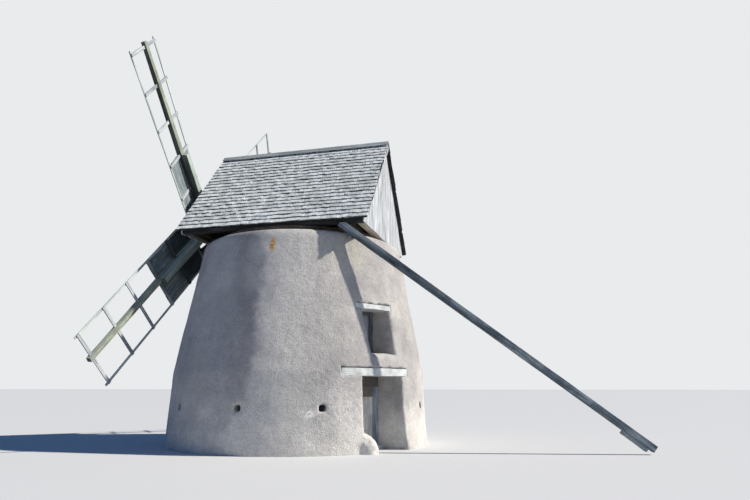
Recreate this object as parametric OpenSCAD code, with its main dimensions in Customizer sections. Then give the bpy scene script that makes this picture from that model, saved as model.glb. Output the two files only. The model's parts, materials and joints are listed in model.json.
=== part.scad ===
// Tower windmill with a round plastered stone tower, a turning gabled cap,
// four open sails and one tail pole. Lengths are in mm, Z is up, the tower's
// centre on the ground is the origin and the sails face -X.

/* [Tower] */
// Outer radius of the tower at the ground
base_r = 3740; // [3400:10:4100]
// Height where the wall starts to lean in more
bend_z = 2000; // [1700:10:2200]
// Outer radius at that height
bend_r = 3640; // [3400:10:3700]
// Height where the rounded shoulder starts
shoulder_z = 5500; // [5300:10:5600]
// Outer radius where the shoulder starts
shoulder_r = 3012; // [2960:2:3100]
// Height of the top of the wall
rim_z = 5760; // [5700:10:5900]
// Outer radius of the top of the wall
rim_r = 2830; // [2780:10:2900]
// Thickness of the wall at the ground
wall_t = 1100; // [1000:10:1200]
// Thickness of the wall at its top
wall_top_t = 580; // [560:10:640]
// Number of wall segments beside the door bay
segment_count = 6; // [5:1:8]
// Half angle of the wall bay that holds the door and the window
bay_half_angle = 21; // [20.5:0.5:23]
// Direction of the door and the window from the centre
bay_direction = -32.5; // [-36:0.5:-28]

/* [Scaffold holes] */
// Height of the row of small square holes
hole_z = 1100; // [800:10:1500]
// Side of a hole
hole_side = 180; // [140:5:220]
// Depth of a hole into the wall
hole_depth = 480; // [300:10:600]

/* [Door] */
// Height of the underside of the stone lintel
door_head_z = 1880; // [1800:10:1950]
// Half width of the doorway outside, on the left
doorway_left = 730; // [650:10:800]
// Half width of the doorway outside, on the right
doorway_right = 820; // [700:10:900]
// Half width of the opening inside the door frame
door_half_w = 460; // [400:5:500]
// Depth of the doorway from the wall's foot to the frame
door_recess = 930; // [850:10:980]
// Depth of the door frame
door_frame_d = 120; // [90:5:140]
// Width of the door posts
door_post_w = 110; // [80:5:140]
// Height of the underside of the frame's head
door_clear_z = 1600; // [1500:10:1700]
// Thickness of the door leaf
leaf_t = 45; // [35:1:60]
// Lap of the leaf behind the frame
leaf_lap = 40; // [20:1:60]
// Radius of the hinge pins
pin_r = 11; // [8:1:14]
// Thickness of the strap hinges
strap_t = 6; // [4:1:8]
// Height of the straps
strap_h = 50; // [35:1:60]
// Length of the straps
strap_len = 720; // [500:10:850]
// Height of the lower hinge over the floor
hinge_low = 280; // [200:10:350]
// Height of the upper hinge over the floor
hinge_high = 1200; // [1100:10:1300]
// Sideways distance of the hinge pins from the leaf's edge
pin_out = 30; // [28:1:40]
// Height of the threshold and the ground floor
floor_z = 100; // [60:5:140]
// Length of the threshold outside the frame
threshold_out = 260; // [100:10:300]
// Radius of the plastered foot beside the doorway
kerb_r = 450; // [400:10:500]
// Reach of the door lintel to the left
door_lintel_left = 1250; // [1000:10:1290]
// Reach of the door lintel to the right
door_lintel_right = 960; // [950:10:1290]
// Depth of the door lintel's face behind the wall's face
door_lintel_set = 45; // [20:5:90]
// Height of the door lintel
door_lintel_h = 190; // [150:5:230]
// Depth of the door lintel
door_lintel_d = 520; // [400:10:600]

/* [Window] */
// Height of the window sill
window_sill_z = 2460; // [2400:10:2550]
// Height of the underside of the window lintel
window_head_z = 3630; // [3500:10:3750]
// Half width of the window opening outside
window_mouth = 520; // [450:5:600]
// Half width inside the window frame
window_half_w = 330; // [280:5:380]
// Depth of the window recess from the wall's face at the sill to the frame
window_recess = 807; // [700:1:850]
// Side of the window frame's timbers
window_frame_w = 90; // [70:5:110]
// Thickness of the window shutter
shutter_t = 30; // [20:1:40]
// Reach of the window lintel to the left
window_lintel_left = 700; // [600:10:1100]
// Reach of the window lintel to the right
window_lintel_right = 1110; // [700:10:1150]
// Depth of the window lintel's face behind the wall's face
window_lintel_set = 60; // [20:5:130]
// Height of the window lintel
window_lintel_h = 130; // [100:5:160]
// Depth of the window lintel
window_lintel_d = 420; // [350:10:500]

/* [Upper floor] */
// Height of the top of the upper floor
upper_floor_z = 2360; // [2330:5:2400]
// Thickness of the floor boards
floor_board_t = 50; // [30:5:70]
// Depth of the joists
joist_h = 180; // [140:5:200]
// Width of the joists
joist_w = 160; // [120:5:200]
// Number of joists
joist_count = 5; // [3:1:7]
// Distance between the outer joists
joist_spread = 3400; // [3000:10:3600]
// Bearing of the joists in the wall
joist_bearing = 150; // [100:5:200]
// Length of the hatch in the upper floor
hatch_len = 900; // [600:10:1000]

/* [Curb] */
// Distance of the curb ring from the wall's inner face
curb_inset = 40; // [30:5:60]
// Width of the curb ring that the cap turns on
curb_w = 290; // [250:5:330]
// Height of the curb ring
curb_h = 170; // [120:5:200]
// Running gap between the curb ring and the cap
turning_gap = 0.3; // [0.2:0.1:1]

/* [Cap] */
// Length of the roof
cap_len = 5710; // [5500:10:5900]
// Distance of the roof's middle from the tower's axis
cap_shift = -100; // [-150:10:0]
// Half width from the ridge line to the eave
eave_half_w = 2547; // [2500:1:2600]
// Height of the eave's outer edge over the curb's top
eave_rise = 128; // [100:1:160]
// Height of the ridge over the eave
roof_rise = 3097; // [2900:1:3300]
// Thickness of the roof with its boards and shingles
roof_t = 70; // [50:5:90]
// Height of the cap's sills
sill_h = 120; // [100:5:160]
// Width of the cap's sills
sill_w = 200; // [160:5:240]
// Distance of the sills' outer faces from the eaves
sill_inset = 107; // [60:1:160]
// Distance of the gable boards from the roof's end
gable_inset = 110; // [80:5:160]
// Thickness of the gable boards
gable_t = 30; // [20:1:40]
// Width of a ridge board
ridge_board_w = 170; // [120:5:220]
// Thickness of a ridge board
ridge_board_t = 25; // [20:1:40]
// Width of a verge board
verge_w = 110; // [80:5:140]
// Thickness of a verge board
verge_t = 28; // [20:1:40]
// Number of rafter pairs
rafter_count = 5; // [4:1:7]
// Width of a rafter
rafter_w = 100; // [80:5:120]
// Depth of a rafter
rafter_d = 120; // [90:5:140]
// Height of the collars over the sills
collar_rise = 1700; // [1500:10:1900]
// Width of the neck beam along the cap
neck_beam_w = 260; // [200:5:300]
// Height of the neck beam
neck_beam_h = 450; // [400:5:460]
// Width of the tail beam along the cap
tail_beam_w = 240; // [200:5:300]
// Height of the tail pin's middle over the tail beam
pin_rise = 25; // [10:5:50]

/* [Tail pole] */
// Distance of the pole's top from the wall's shoulder
pole_top_clear = 172; // [130:1:220]
// Length of the pole's run along the ground
pole_reach = 7400; // [6900:10:7700]
// Sideways place of the pole's foot
pole_foot_y = -900; // [-1500:10:0]
// Height of the pole's foot end over the ground
pole_foot_gap = 20; // [10:1:60]
// Width of the pole at its top
pole_top_w = 195; // [160:5:220]
// Width of the pole at its foot
pole_foot_w = 168; // [140:2:220]
// Depth of the pole's middle line under the sills at its top
pole_top_drop = 150; // [110:5:180]
// Length of the timber under the pole's foot
shoe_len = 720; // [500:10:900]
// Distance of that timber from the pole's foot end
shoe_in = 140; // [80:10:200]
// Thickness of that timber
shoe_t = 90; // [60:5:120]
// Diameter of the bolts that hang the pole from the sill
bolt_d = 24; // [16:1:30]
// Distance between those bolts
bolt_step = 300; // [250:5:350]
// Side of the square nuts and washers on the bolts
nut_side = 60; // [45:1:70]

/* [Windshaft] */
// Place of the rear pair of sails along the cap
hub_x = -3504; // [-3560:2:-3450]
// Height of the crossing of the sails
hub_z = 6650; // [6620:2:6690]
// Upward tilt of the shaft
shaft_tilt = 4.2; // [3.4:0.1:5]
// Turn of the sails about the shaft at rest
rotor_turn = 45.4; // [0:0.1:90]
// Side of the shaft's square head
head_side = 560; // [500:10:600]
// How far that head runs past the stocks
head_past = 90; // [60:5:120]
// Radius of the shaft at its neck
neck_r = 230; // [200:5:240]
// Radius of the shaft before its tail pin
shaft_tail_r = 180; // [150:5:200]
// Radius of the tail pin
tail_pin_r = 75; // [60:1:90]
// Running gap in the bearings
bearing_gap = 0.3; // [0.1:0.1:1]

/* [Stocks] */
// Half length of a stock
stock_reach = 2800; // [2700:10:2900]
// Width of a stock at the shaft
stock_w = 230; // [200:5:260]
// Width of a stock at its ends
stock_end_w = 180; // [150:5:200]
// Depth of a stock along the shaft
stock_d = 210; // [190:5:230]
// Depth of a stock at its ends
stock_end_d = 180; // [140:5:190]
// Distance of the wedges' faces from the stock
mortice_gap = 25; // [15:1:30]
// How far the front pair of sails stands in front of the rear pair
plane_step = 150; // [120:5:180]

/* [Sails] */
// Distance of a sail's tip from the shaft
tip_r = 6198; // [6150:1:6280]
// Distance of a whip's inner end from the shaft
whip_start_r = 480; // [450:5:520]
// Width of a whip at its inner end
whip_w = 180; // [150:5:200]
// Width of a whip at its tip
whip_tip_w = 125; // [100:5:140]
// Depth of a whip along the shaft
whip_d = 160; // [140:5:170]
// Distance of the first bar from the shaft
first_bar_r = 591; // [580:1:620]
// Distance between bars
bar_step = 1095; // [1050:1:1100]
// Number of bars on a sail
bar_count = 6; // [4:1:6]
// Reach of the bars on the wide side
wide_side = 930; // [850:1:950]
// Reach of the bars on the narrow side
narrow_side = 722; // [650:1:780]
// Width of a bar along the sail
bar_w = 95; // [70:1:110]
// Thickness of a bar
bar_t = 32; // [25:1:40]
// Weather angle at the tip
weather_tip = 8.4; // [8:0.1:12]
// Weather angle at the first bar
weather_inner = 12.2; // [10:0.1:16]
// Width of a long lath
lath_w = 60; // [45:1:75]
// Thickness of a long lath
lath_t = 32; // [25:1:40]
// How far the laths run past the last bar
lath_past = 110; // [60:1:120]
// Number of bars that carry the fixed boards, from the shaft outwards
board_bars = 3; // [2:1:4]
// Thickness of the sail boards
board_t = 22; // [16:1:30]
// Distance of the boards from the whip's side
board_gap = 20; // [15:1:30]

/* [Hidden] */
TOWER_COLOR = "linen";
WOOD_COLOR = "silver";
face_gap = 0.3;
segment_angle = (360 - 2 * bay_half_angle) / segment_count;
shoulder_w = shoulder_r - rim_r;
shoulder_h = rim_z - shoulder_z;
room_r = base_r - wall_t;
room_top_r = rim_r - wall_top_t;
curb_in_r = room_top_r + curb_inset;
curb_out_r = curb_in_r + curb_w;
curb_z = rim_z + face_gap + curb_h;
sill_z = curb_z + turning_gap;
sill_top_z = sill_z + sill_h;
eave_z = curb_z + eave_rise;
ridge_z = eave_z + roof_rise;
pitch = atan2(roof_rise, eave_half_w);
roof_drop = roof_t / cos(pitch);
roof_x0 = cap_shift - cap_len / 2;
roof_x1 = cap_shift + cap_len / 2;
gable_x0 = roof_x0 + gable_inset;
gable_x1 = roof_x1 - gable_inset;
sill_out = eave_half_w - sill_inset;
sill_in = sill_out - sill_w;
sill_x0 = gable_x0 + gable_t;
sill_x1 = gable_x1 - gable_t;
last_bar_r = first_bar_r + (bar_count - 1) * bar_step;
joist_step = joist_spread / (joist_count - 1);
// Half of the angle left open between two wall segments
seam_angle = 0.003;
// Reach of the shapes that cut all the way through a piece
cut_reach = 2 * base_r;
// Directions of the scaffold holes, uneven as the masons left them
hole_angles = [-126.6, -92.6, -60.1, -3.5, 26.5, 57, 86, 117, 140, 171, 207];

// Outer radius of the tower at a height
function outer_r(z) =
  z < bend_z ? base_r + (bend_r - base_r) * z / bend_z :
  bend_r + (shoulder_r - bend_r) * (z - bend_z) / (shoulder_z - bend_z);
// Room radius at a height
function inner_r(z) = room_r + (room_top_r - room_r) * z / rim_z;
// Height of the roof's underside at a distance from the ridge line
function under_roof(y) = ridge_z - roof_drop - abs(y) * tan(pitch);
// Distance from the ridge line where the roof's underside has a height
function under_roof_y(z) = (ridge_z - roof_drop - z) / tan(pitch);
// Weather angle of a sail at a distance from the shaft
function weather(r) =
  weather_inner + (weather_tip - weather_inner) * (r - first_bar_r) / (last_bar_r - first_bar_r);

// Outer face of the wall's rounded shoulder, from its foot to the rim
shoulder = [for (a = [20:14:90]) [rim_r + shoulder_w * cos(a) / cos(20),
  rim_z - shoulder_h * (1 - sin(a)) / (1 - sin(20))]];

// Section of the wall between two heights, room side to outer face
module wall_section(low, high) {
  bend = low < bend_z && high > bend_z ? [[bend_r, bend_z]] : [];
  top = high < rim_z ? [[outer_r(high), high]] : shoulder;
  polygon(concat([[inner_r(low), low], [outer_r(low), low]], bend, top, [[inner_r(high), high]]));
}

// Stretch of the wall between two angles and two heights
module wall_stretch(start, sweep, low = 0, high = rim_z) {
  rotate([0, 0, start]) rotate_extrude(angle = sweep, $fn = 360) wall_section(low, high);
}

// Turns to the door and window bay: X runs outwards, Y to the right seen from outside
module at_bay() {
  rotate([0, 0, bay_direction]) children();
}

// Part of the door bay's wall between two heights, whole or on one side of its middle
module bay_wall(low, high, side = 0) {
  edge = bay_half_angle - seam_angle;
  start = side > 0 ? 5 : -edge;
  sweep = side == 0 ? 2 * edge : edge - 5;
  wall_stretch(bay_direction + start, sweep, low, high);
}

door_frame_u = base_r - door_recess;
door_seat = door_half_w + door_post_w;
door_room_side = door_half_w + 150;
door_frame_in = door_frame_u - door_frame_d;

// Plan of a jamb: the reveal's corners from the room outwards, on one side of the opening
module jamb_plan(side, reveal) {
  near = room_top_r / 2;
  polygon(concat([[near, side * reveal[0][1]]], [for (c = reveal) [c[0], side * c[1]]],
    [[cut_reach, side * reveal[len(reveal) - 1][1]], [cut_reach, side * cut_reach], [near, side * cut_reach]]));
}

window_frame_u = outer_r(window_sill_z) - window_recess;
window_seat = window_half_w + window_frame_w;
window_frame_in = window_frame_u - window_frame_w;

// Straight stone slab over an opening, or the room for it when it runs past its face
module lintel_slab(low, h, left, right, set, d, past) {
  face = outer_r(low) - set;
  at_bay() translate([face - d, -left, low]) cube([d + past, left + right, h]);
}

module door_lintel_slab(past) {
  lintel_slab(door_head_z, door_lintel_h, door_lintel_left, door_lintel_right, door_lintel_set, door_lintel_d, past);
}

module window_lintel_slab(past) {
  lintel_slab(window_head_z, window_lintel_h, window_lintel_left, window_lintel_right,
    window_lintel_set, window_lintel_d, past);
}

// Square hole pointing at the tower's axis
module scaffold_hole(angle) {
  rotate([0, 0, angle]) translate([outer_r(hole_z) - hole_depth, -hole_side / 2, hole_z - hole_side / 2])
    cube([hole_depth + 300, hole_side, hole_side]);
}

joist_z = upper_floor_z - floor_board_t - joist_h;

// The joists side by side, or their pockets when made larger by a gap
module joist_row(gap) {
  intersection() {
    for (i = [0:joist_count - 1])
      translate([-room_r - 500, -joist_spread / 2 + i * joist_step - joist_w / 2 - gap, joist_z])
        cube([2 * room_r + 1000, joist_w + 2 * gap, joist_h]);
    translate([0, 0, joist_z]) cylinder(r = inner_r(upper_floor_z) + joist_bearing + gap, h = joist_h, $fn = 360);
  }
}

// One full height segment with its scaffold holes and its share of the lintels' beds
module wall_segment(index) {
  start = bay_direction + bay_half_angle + (index - 1) * segment_angle;
  color(TOWER_COLOR) difference() {
    wall_stretch(start + seam_angle, segment_angle - 2 * seam_angle);
    for (angle = hole_angles) {
      turn = (angle - start + 720) % 360;
      if (turn < segment_angle + 5 || turn > 355) scaffold_hole(angle);
    }
    joist_row(face_gap);
    if (index == 1 || index == segment_count) {
      door_lintel_slab(base_r);
      window_lintel_slab(base_r);
    }
  }
}

module wall_segment_1() { wall_segment(1); }
module wall_segment_2() { wall_segment(2); }
module wall_segment_3() { wall_segment(3); }
module wall_segment_4() { wall_segment(4); }
module wall_segment_5() { wall_segment(5); }
module wall_segment_6() { wall_segment(6); }

module door_jamb(side, mouth) {
  color(TOWER_COLOR) intersection() {
    bay_wall(0, door_head_z, side);
    at_bay() linear_extrude(height = door_head_z) jamb_plan(side, [
      [door_frame_in, door_room_side], [door_frame_in, door_seat], [door_frame_u, door_seat], [base_r, mouth]
    ]);
  }
}

module door_left_jamb() { door_jamb(-1, doorway_left); }
module door_right_jamb() { door_jamb(1, doorway_right); }

module wall_over_door() {
  color(TOWER_COLOR) difference() {
    bay_wall(door_head_z, window_sill_z);
    door_lintel_slab(base_r);
    joist_row(face_gap);
  }
}

module window_jamb(side) {
  color(TOWER_COLOR) intersection() {
    bay_wall(window_sill_z, window_head_z, side);
    at_bay() translate([0, 0, window_sill_z]) linear_extrude(height = window_head_z - window_sill_z)
      jamb_plan(side, [[window_frame_u, window_seat], [outer_r(window_sill_z), window_mouth]]);
  }
}

module window_left_jamb() { window_jamb(-1); }
module window_right_jamb() { window_jamb(1); }

module wall_over_window() {
  color(TOWER_COLOR) difference() {
    bay_wall(window_head_z, rim_z);
    window_lintel_slab(base_r);
  }
}

// Lintels with their ends dressed back to the round wall
module stone_lintels() {
  color("gainsboro") {
    intersection() {
      door_lintel_slab(0);
      cylinder(r = outer_r(door_head_z), h = rim_z, $fn = 360);
    }
    intersection() {
      window_lintel_slab(0);
      cylinder(r = outer_r(window_head_z), h = rim_z, $fn = 360);
    }
  }
}

// Rounded plastered foot that stands at the left side of the doorway
module doorway_kerb() {
  color("white") difference() {
    intersection() {
      at_bay() translate([base_r - kerb_r + 250, -doorway_left, 0]) sphere(r = kerb_r, $fn = 240);
      at_bay() translate([0, -cut_reach, 0]) cube([cut_reach, 2 * cut_reach, kerb_r + floor_z]);
    }
    intersection() {
      wall_stretch(bay_direction - bay_half_angle - 20, bay_half_angle + 20);
      at_bay() linear_extrude(height = door_head_z) jamb_plan(-1, [
        [door_frame_in, door_room_side], [door_frame_in, door_seat], [door_frame_u, door_seat], [base_r, doorway_left]
      ]);
    }
  }
}

module door_threshold() {
  color("lightgray") difference() {
    at_bay() translate([room_top_r, -door_seat, 0])
      cube([door_frame_u + threshold_out - room_top_r, 2 * door_seat, floor_z]);
    translate([0, 0, -1]) cylinder(r = inner_r(floor_z), h = floor_z + 2, $fn = 360);
  }
}

module door_frame() {
  color("slategray") at_bay() translate([door_frame_in, 0, 0]) {
    for (side = [-1, 1])
      translate([0, side > 0 ? door_half_w : -door_seat + face_gap, floor_z + face_gap])
        cube([door_frame_d, door_post_w - face_gap, door_clear_z - floor_z]);
    translate([0, -door_seat + face_gap, door_clear_z])
      cube([door_frame_d, 2 * (door_seat - face_gap), door_head_z - door_clear_z - face_gap]);
  }
}

module door_leaf() {
  color("lightsteelblue") at_bay()
    translate([door_frame_in - face_gap - leaf_t, -door_half_w - leaf_lap, floor_z + 10])
      cube([leaf_t, 2 * (door_half_w + leaf_lap), door_clear_z - floor_z - 10 + leaf_lap]);
}

pin_u = door_frame_in - face_gap - leaf_t - face_gap - strap_t / 2;
pin_v = -(door_half_w + leaf_lap + pin_out);
eye_r = pin_r + face_gap + strap_t;

// Places children at the foot of each hinge pin
module at_hinges() {
  at_bay() for (z = [hinge_low, hinge_high]) translate([pin_u, pin_v, floor_z + z]) children();
}

// Pins on brackets that are driven into the left post, under the straps' eyes
module door_hinge_pins() {
  plate = door_frame_in - face_gap - pin_u;
  color("dimgray") at_hinges() {
    translate([0, 0, -25]) cylinder(r = pin_r, h = strap_h + 35, $fn = 48);
    translate([0, -pin_r, -25]) cube([plate, 2 * pin_r, 25 - face_gap]);
  }
}

// Long straps on the leaf's room side, with an eye round each pin
module door_straps() {
  reach = pin_out + strap_len;
  color("dimgray") at_hinges() difference() {
    union() {
      cylinder(r = eye_r, h = strap_h, $fn = 64);
      translate([-strap_t / 2, 0, 0]) cube([strap_t, reach, strap_h]);
    }
    translate([0, 0, -1]) cylinder(r = pin_r + face_gap, h = strap_h + 2, $fn = 48);
  }
}

module window_frame() {
  color("slategray") at_bay() difference() {
    translate([window_frame_in, -window_seat + face_gap, window_sill_z + face_gap])
      cube([window_frame_w, 2 * (window_seat - face_gap), window_head_z - window_sill_z - 2 * face_gap]);
    translate([window_frame_in - 1, -window_half_w, window_sill_z + window_frame_w])
      cube([window_frame_w + 2, 2 * window_half_w, window_head_z - window_sill_z - 2 * window_frame_w]);
  }
}

module window_shutter() {
  color("lightsteelblue") at_bay()
    translate([window_frame_in - shutter_t, -window_seat + 20, window_sill_z + 20])
      cube([shutter_t, 2 * window_seat - 40, window_head_z - window_sill_z - 40]);
}

module ground_floor() {
  color("darkgray") cylinder(r = inner_r(floor_z) - face_gap, h = floor_z, $fn = 360);
}

module upper_floor() {
  color("peru") difference() {
    translate([0, 0, upper_floor_z - floor_board_t])
      cylinder(r = inner_r(upper_floor_z) - 5, h = floor_board_t, $fn = 360);
    translate([-room_top_r / 2 - hatch_len / 2, joist_w / 2 + 20, upper_floor_z - 2 * floor_board_t])
      cube([hatch_len, joist_step - joist_w - 40, 3 * floor_board_t]);
  }
}

module floor_joists() {
  color("saddlebrown") joist_row(0);
}

module curb_ring() {
  color("burlywood") translate([0, 0, rim_z + face_gap]) difference() {
    cylinder(r = curb_out_r, h = curb_h, $fn = 360);
    translate([0, 0, -1]) cylinder(r = curb_in_r, h = curb_h + 2, $fn = 360);
  }
}

module side_sills() {
  color(WOOD_COLOR) difference() {
    for (side = [-1, 1])
      translate([sill_x0, side > 0 ? sill_in : -sill_out, sill_z]) cube([sill_x1 - sill_x0, sill_w, sill_h]);
    bolt_pair(face_gap, sill_z - 10, sill_top_z + 10);
  }
}

module end_sills() {
  color(WOOD_COLOR) for (x = [sill_x0, sill_x1 - sill_w])
    translate([x, -sill_in, sill_z]) cube([sill_w, 2 * sill_in, sill_h]);
}

// Places children in the tilted frame of the windshaft
module at_rotor() {
  translate([hub_x, 0, hub_z]) rotate([0, shaft_tilt, 0]) children();
}

neck_x0 = sill_x0;
tail_beam_x1 = sill_x1 - sill_w - 200;
tail_beam_top_z = hub_z - (tail_beam_x1 - hub_x) * tan(shaft_tilt) - pin_rise;

module neck_beam() {
  half = under_roof_y(sill_top_z + neck_beam_h) - 160;
  color(WOOD_COLOR) difference() {
    translate([neck_x0, -half, sill_top_z]) cube([neck_beam_w, 2 * half, neck_beam_h]);
    at_rotor() rotate([0, 90, 0]) cylinder(r = neck_r + bearing_gap, h = cut_reach, $fn = 64);
  }
}

module tail_beam() {
  color(WOOD_COLOR) difference() {
    translate([tail_beam_x1 - tail_beam_w, -sill_in, sill_z]) cube([tail_beam_w, 2 * sill_in, tail_beam_top_z - sill_z]);
    at_rotor() rotate([0, 90, 0]) cylinder(r = tail_pin_r + bearing_gap, h = cut_reach, $fn = 64);
  }
}

module rafter_pair() {
  drop = rafter_d / cos(pitch);
  foot = under_roof_y(sill_top_z);
  foot_in = foot - drop / tan(pitch);
  top = under_roof(0);
  union() {
    difference() {
      polygon([[-foot, sill_top_z], [0, top], [foot, sill_top_z]]);
      polygon([[-foot_in, sill_top_z - 1], [0, top - drop], [foot_in, sill_top_z - 1]]);
    }
    intersection() {
      polygon([[-foot, sill_top_z], [0, top], [foot, sill_top_z]]);
      translate([-foot, sill_top_z + collar_rise]) square([2 * foot, 110]);
    }
  }
}

module rafters() {
  first = neck_x0 + neck_beam_w + 80;
  last = sill_x1 - rafter_w - 10;
  color("tan") for (i = [0:rafter_count - 1])
    translate([first + i * (last - first) / (rafter_count - 1), 0, 0])
      rotate([90, 0, 90]) linear_extrude(height = rafter_w) rafter_pair();
}

// One slope as a slab from the eave to the ridge
module roof_slope(side) {
  rotate([90, 0, 90]) translate([0, 0, roof_x0]) linear_extrude(height = cap_len)
    polygon([
      [side * eave_half_w, eave_z],
      [0, ridge_z],
      [0, ridge_z - roof_drop],
      [side * (eave_half_w - roof_t * sin(pitch)), eave_z - roof_t * cos(pitch)]
    ]);
}

module near_roof() { color("whitesmoke") roof_slope(-1); }
module far_roof() { color("whitesmoke") roof_slope(1); }

module ridge_boards() {
  color("gray") rotate([90, 0, 90]) translate([0, 0, roof_x0 - 10]) linear_extrude(height = cap_len + 20)
    polygon([
      [0, ridge_z + ridge_board_t / cos(pitch)],
      [ridge_board_w * cos(pitch) + ridge_board_t * sin(pitch), ridge_z - ridge_board_w * sin(pitch) + ridge_board_t * cos(pitch)],
      [ridge_board_w * cos(pitch), ridge_z - ridge_board_w * sin(pitch)],
      [0, ridge_z],
      [-ridge_board_w * cos(pitch), ridge_z - ridge_board_w * sin(pitch)],
      [-ridge_board_w * cos(pitch) - ridge_board_t * sin(pitch), ridge_z - ridge_board_w * sin(pitch) + ridge_board_t * cos(pitch)]
    ]);
}

// Boards under the ends of the near slope. The far slope has none
module verge_boards() {
  half = under_roof_y(sill_top_z) - 20;
  color("gainsboro") for (x = [roof_x0, roof_x1 - verge_t])
    translate([x, 0, 0]) rotate([90, 0, 90]) linear_extrude(height = verge_t)
      polygon([
        [-half, under_roof(half)], [0, under_roof(0)], [0, under_roof(0) - verge_w / cos(pitch)],
        [-half + 20, under_roof(half) - 10], [-half, under_roof(half) - 10]
      ]);
}

// Gable outline over the sills' ends and up to the roof's underside
module gable_outline() {
  half = under_roof_y(sill_top_z) - 1;
  polygon([
    [-sill_out, sill_z], [sill_out, sill_z], [sill_out, sill_top_z], [half, sill_top_z],
    [0, under_roof(0)], [-half, sill_top_z], [-sill_out, sill_top_z]
  ]);
}

module front_gable() {
  color(WOOD_COLOR) difference() {
    translate([gable_x0, 0, 0]) rotate([90, 0, 90]) linear_extrude(height = gable_t) gable_outline();
    at_rotor() rotate([0, 90, 0]) cylinder(r = neck_r + 40, h = cut_reach, $fn = 64);
  }
}

module rear_gable() {
  color(WOOD_COLOR) translate([gable_x1 - gable_t, 0, 0]) rotate([90, 0, 90])
    linear_extrude(height = gable_t) gable_outline();
}

// Timber along +Z from the origin, tapered in both directions
module taper_beam(len, w0, w1, d0, d1) {
  intersection() {
    rotate([90, 0, 0]) translate([0, 0, -1000]) linear_extrude(height = 2000)
      polygon([[-w0 / 2, 0], [w0 / 2, 0], [w1 / 2, len], [-w1 / 2, len]]);
    rotate([90, 0, 90]) translate([0, 0, -1000]) linear_extrude(height = 2000)
      polygon([[-d0 / 2, 0], [d0 / 2, 0], [d1 / 2, len], [-d1 / 2, len]]);
  }
}

pole_top_y = -(sill_in + sill_w / 2);
pole_top_x = sqrt((shoulder_r + pole_top_clear) ^ 2 - pole_top_y ^ 2);
pole_foot_x = pole_top_x + pole_reach;
pole_top_z = sill_z - pole_top_drop;
pole_foot_z = pole_foot_gap + pole_foot_w * 0.62;
pole_run = [pole_foot_x - pole_top_x, pole_foot_y - pole_top_y, pole_foot_z - pole_top_z];
pole_len = norm(pole_run);
pole_heading = atan2(pole_run[1], pole_run[0]);
pole_slope = acos(pole_run[2] / pole_len);
// How far the pole's timber runs on past its top point before it is cut flush under the sill
pole_head = 250;

// Turns +Z to run down the pole from its top
module along_pole() {
  translate([pole_top_x, pole_top_y, pole_top_z]) rotate([0, pole_slope, pole_heading]) children();
}

// Width of the pole at a distance down its middle line from its top
function pole_w_down(s) = pole_top_w + (pole_foot_w - pole_top_w) * (s + pole_head) / (pole_len + pole_head);
// Width of the pole where its underside is a level distance away from its top
function pole_w(t) = pole_w_down((t - pole_top_w / 2 * cos(pole_slope)) / sin(pole_slope));
// Height of the pole's underside there
function pole_under(t) = pole_top_z + t / tan(pole_slope) - pole_w(t) / 2 / sin(pole_slope);

// Level distances of the two bolts from the pole's top
bolt_places = [-0.55 * bolt_step, 0.45 * bolt_step];

// Places children on the ground under the pole's line, turned along it
module below_pole(t) {
  translate([pole_top_x, pole_top_y, 0]) rotate([0, 0, pole_heading]) translate([t, 0, 0]) children();
}

// Upright bolts through the sill and the pole, or their holes when made larger by a gap
module bolt_pair(gap, low, high) {
  for (t = bolt_places)
    below_pole(t) translate([0, 0, low]) cylinder(r = bolt_d / 2 + gap, h = high - low, $fn = 48);
}

module tail_pole() {
  color("lightslategray") difference() {
    intersection() {
      along_pole() translate([0, 0, -pole_head])
        taper_beam(pole_len + pole_head, pole_top_w, pole_foot_w, pole_top_w, pole_foot_w);
      translate([0, -base_r, pole_foot_gap])
        cube([pole_foot_x + base_r, 2 * base_r, sill_z - face_gap - pole_foot_gap]);
    }
    bolt_pair(face_gap, sill_z - 1000, sill_z + 10);
  }
}

module pole_shoe() {
  start = pole_len - shoe_in - shoe_len;
  seat = max(pole_w_down(start), pole_w_down(start + shoe_len)) / 2;
  color("slategray") intersection() {
    along_pole() translate([seat + face_gap, -pole_foot_w / 2 + 20, start])
      cube([shoe_t, pole_foot_w - 40, shoe_len]);
    translate([0, -base_r, pole_foot_gap]) cube([pole_foot_x + base_r, 2 * base_r, sill_z]);
  }
}

module pole_bolts() {
  nut_t = nut_side / 4;
  color("dimgray") for (t = bolt_places) {
    nut_z = pole_under(t + nut_side / 2) - face_gap - nut_t;
    below_pole(t) {
      translate([0, 0, nut_z - nut_t]) cylinder(r = bolt_d / 2, h = sill_top_z + 3 * nut_t - nut_z, $fn = 48);
      for (z = [nut_z, sill_top_z + face_gap])
        translate([-nut_side / 2, -nut_side / 2, z]) cube([nut_side, nut_side, nut_t]);
    }
  }
}

// Front face of a stock whose sails stand in a plane
function stock_front(plane) = plane + whip_d / 2;
// Where the two stocks meet in the shaft's head, each cut back to it
lap_x = (stock_front(0) + stock_front(-plane_step) + stock_d) / 2;

// Cut through the shaft's head for one stock
module stock_mortice(turn, plane) {
  rotate([turn, 0, 0]) translate([stock_front(plane) - face_gap, -stock_w / 2 - mortice_gap, -head_side])
    cube([stock_d + 2 * face_gap, stock_w + 2 * mortice_gap, 2 * head_side]);
}

shaft_end_x = tail_beam_x1 - tail_beam_w - hub_x - 120;

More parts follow.
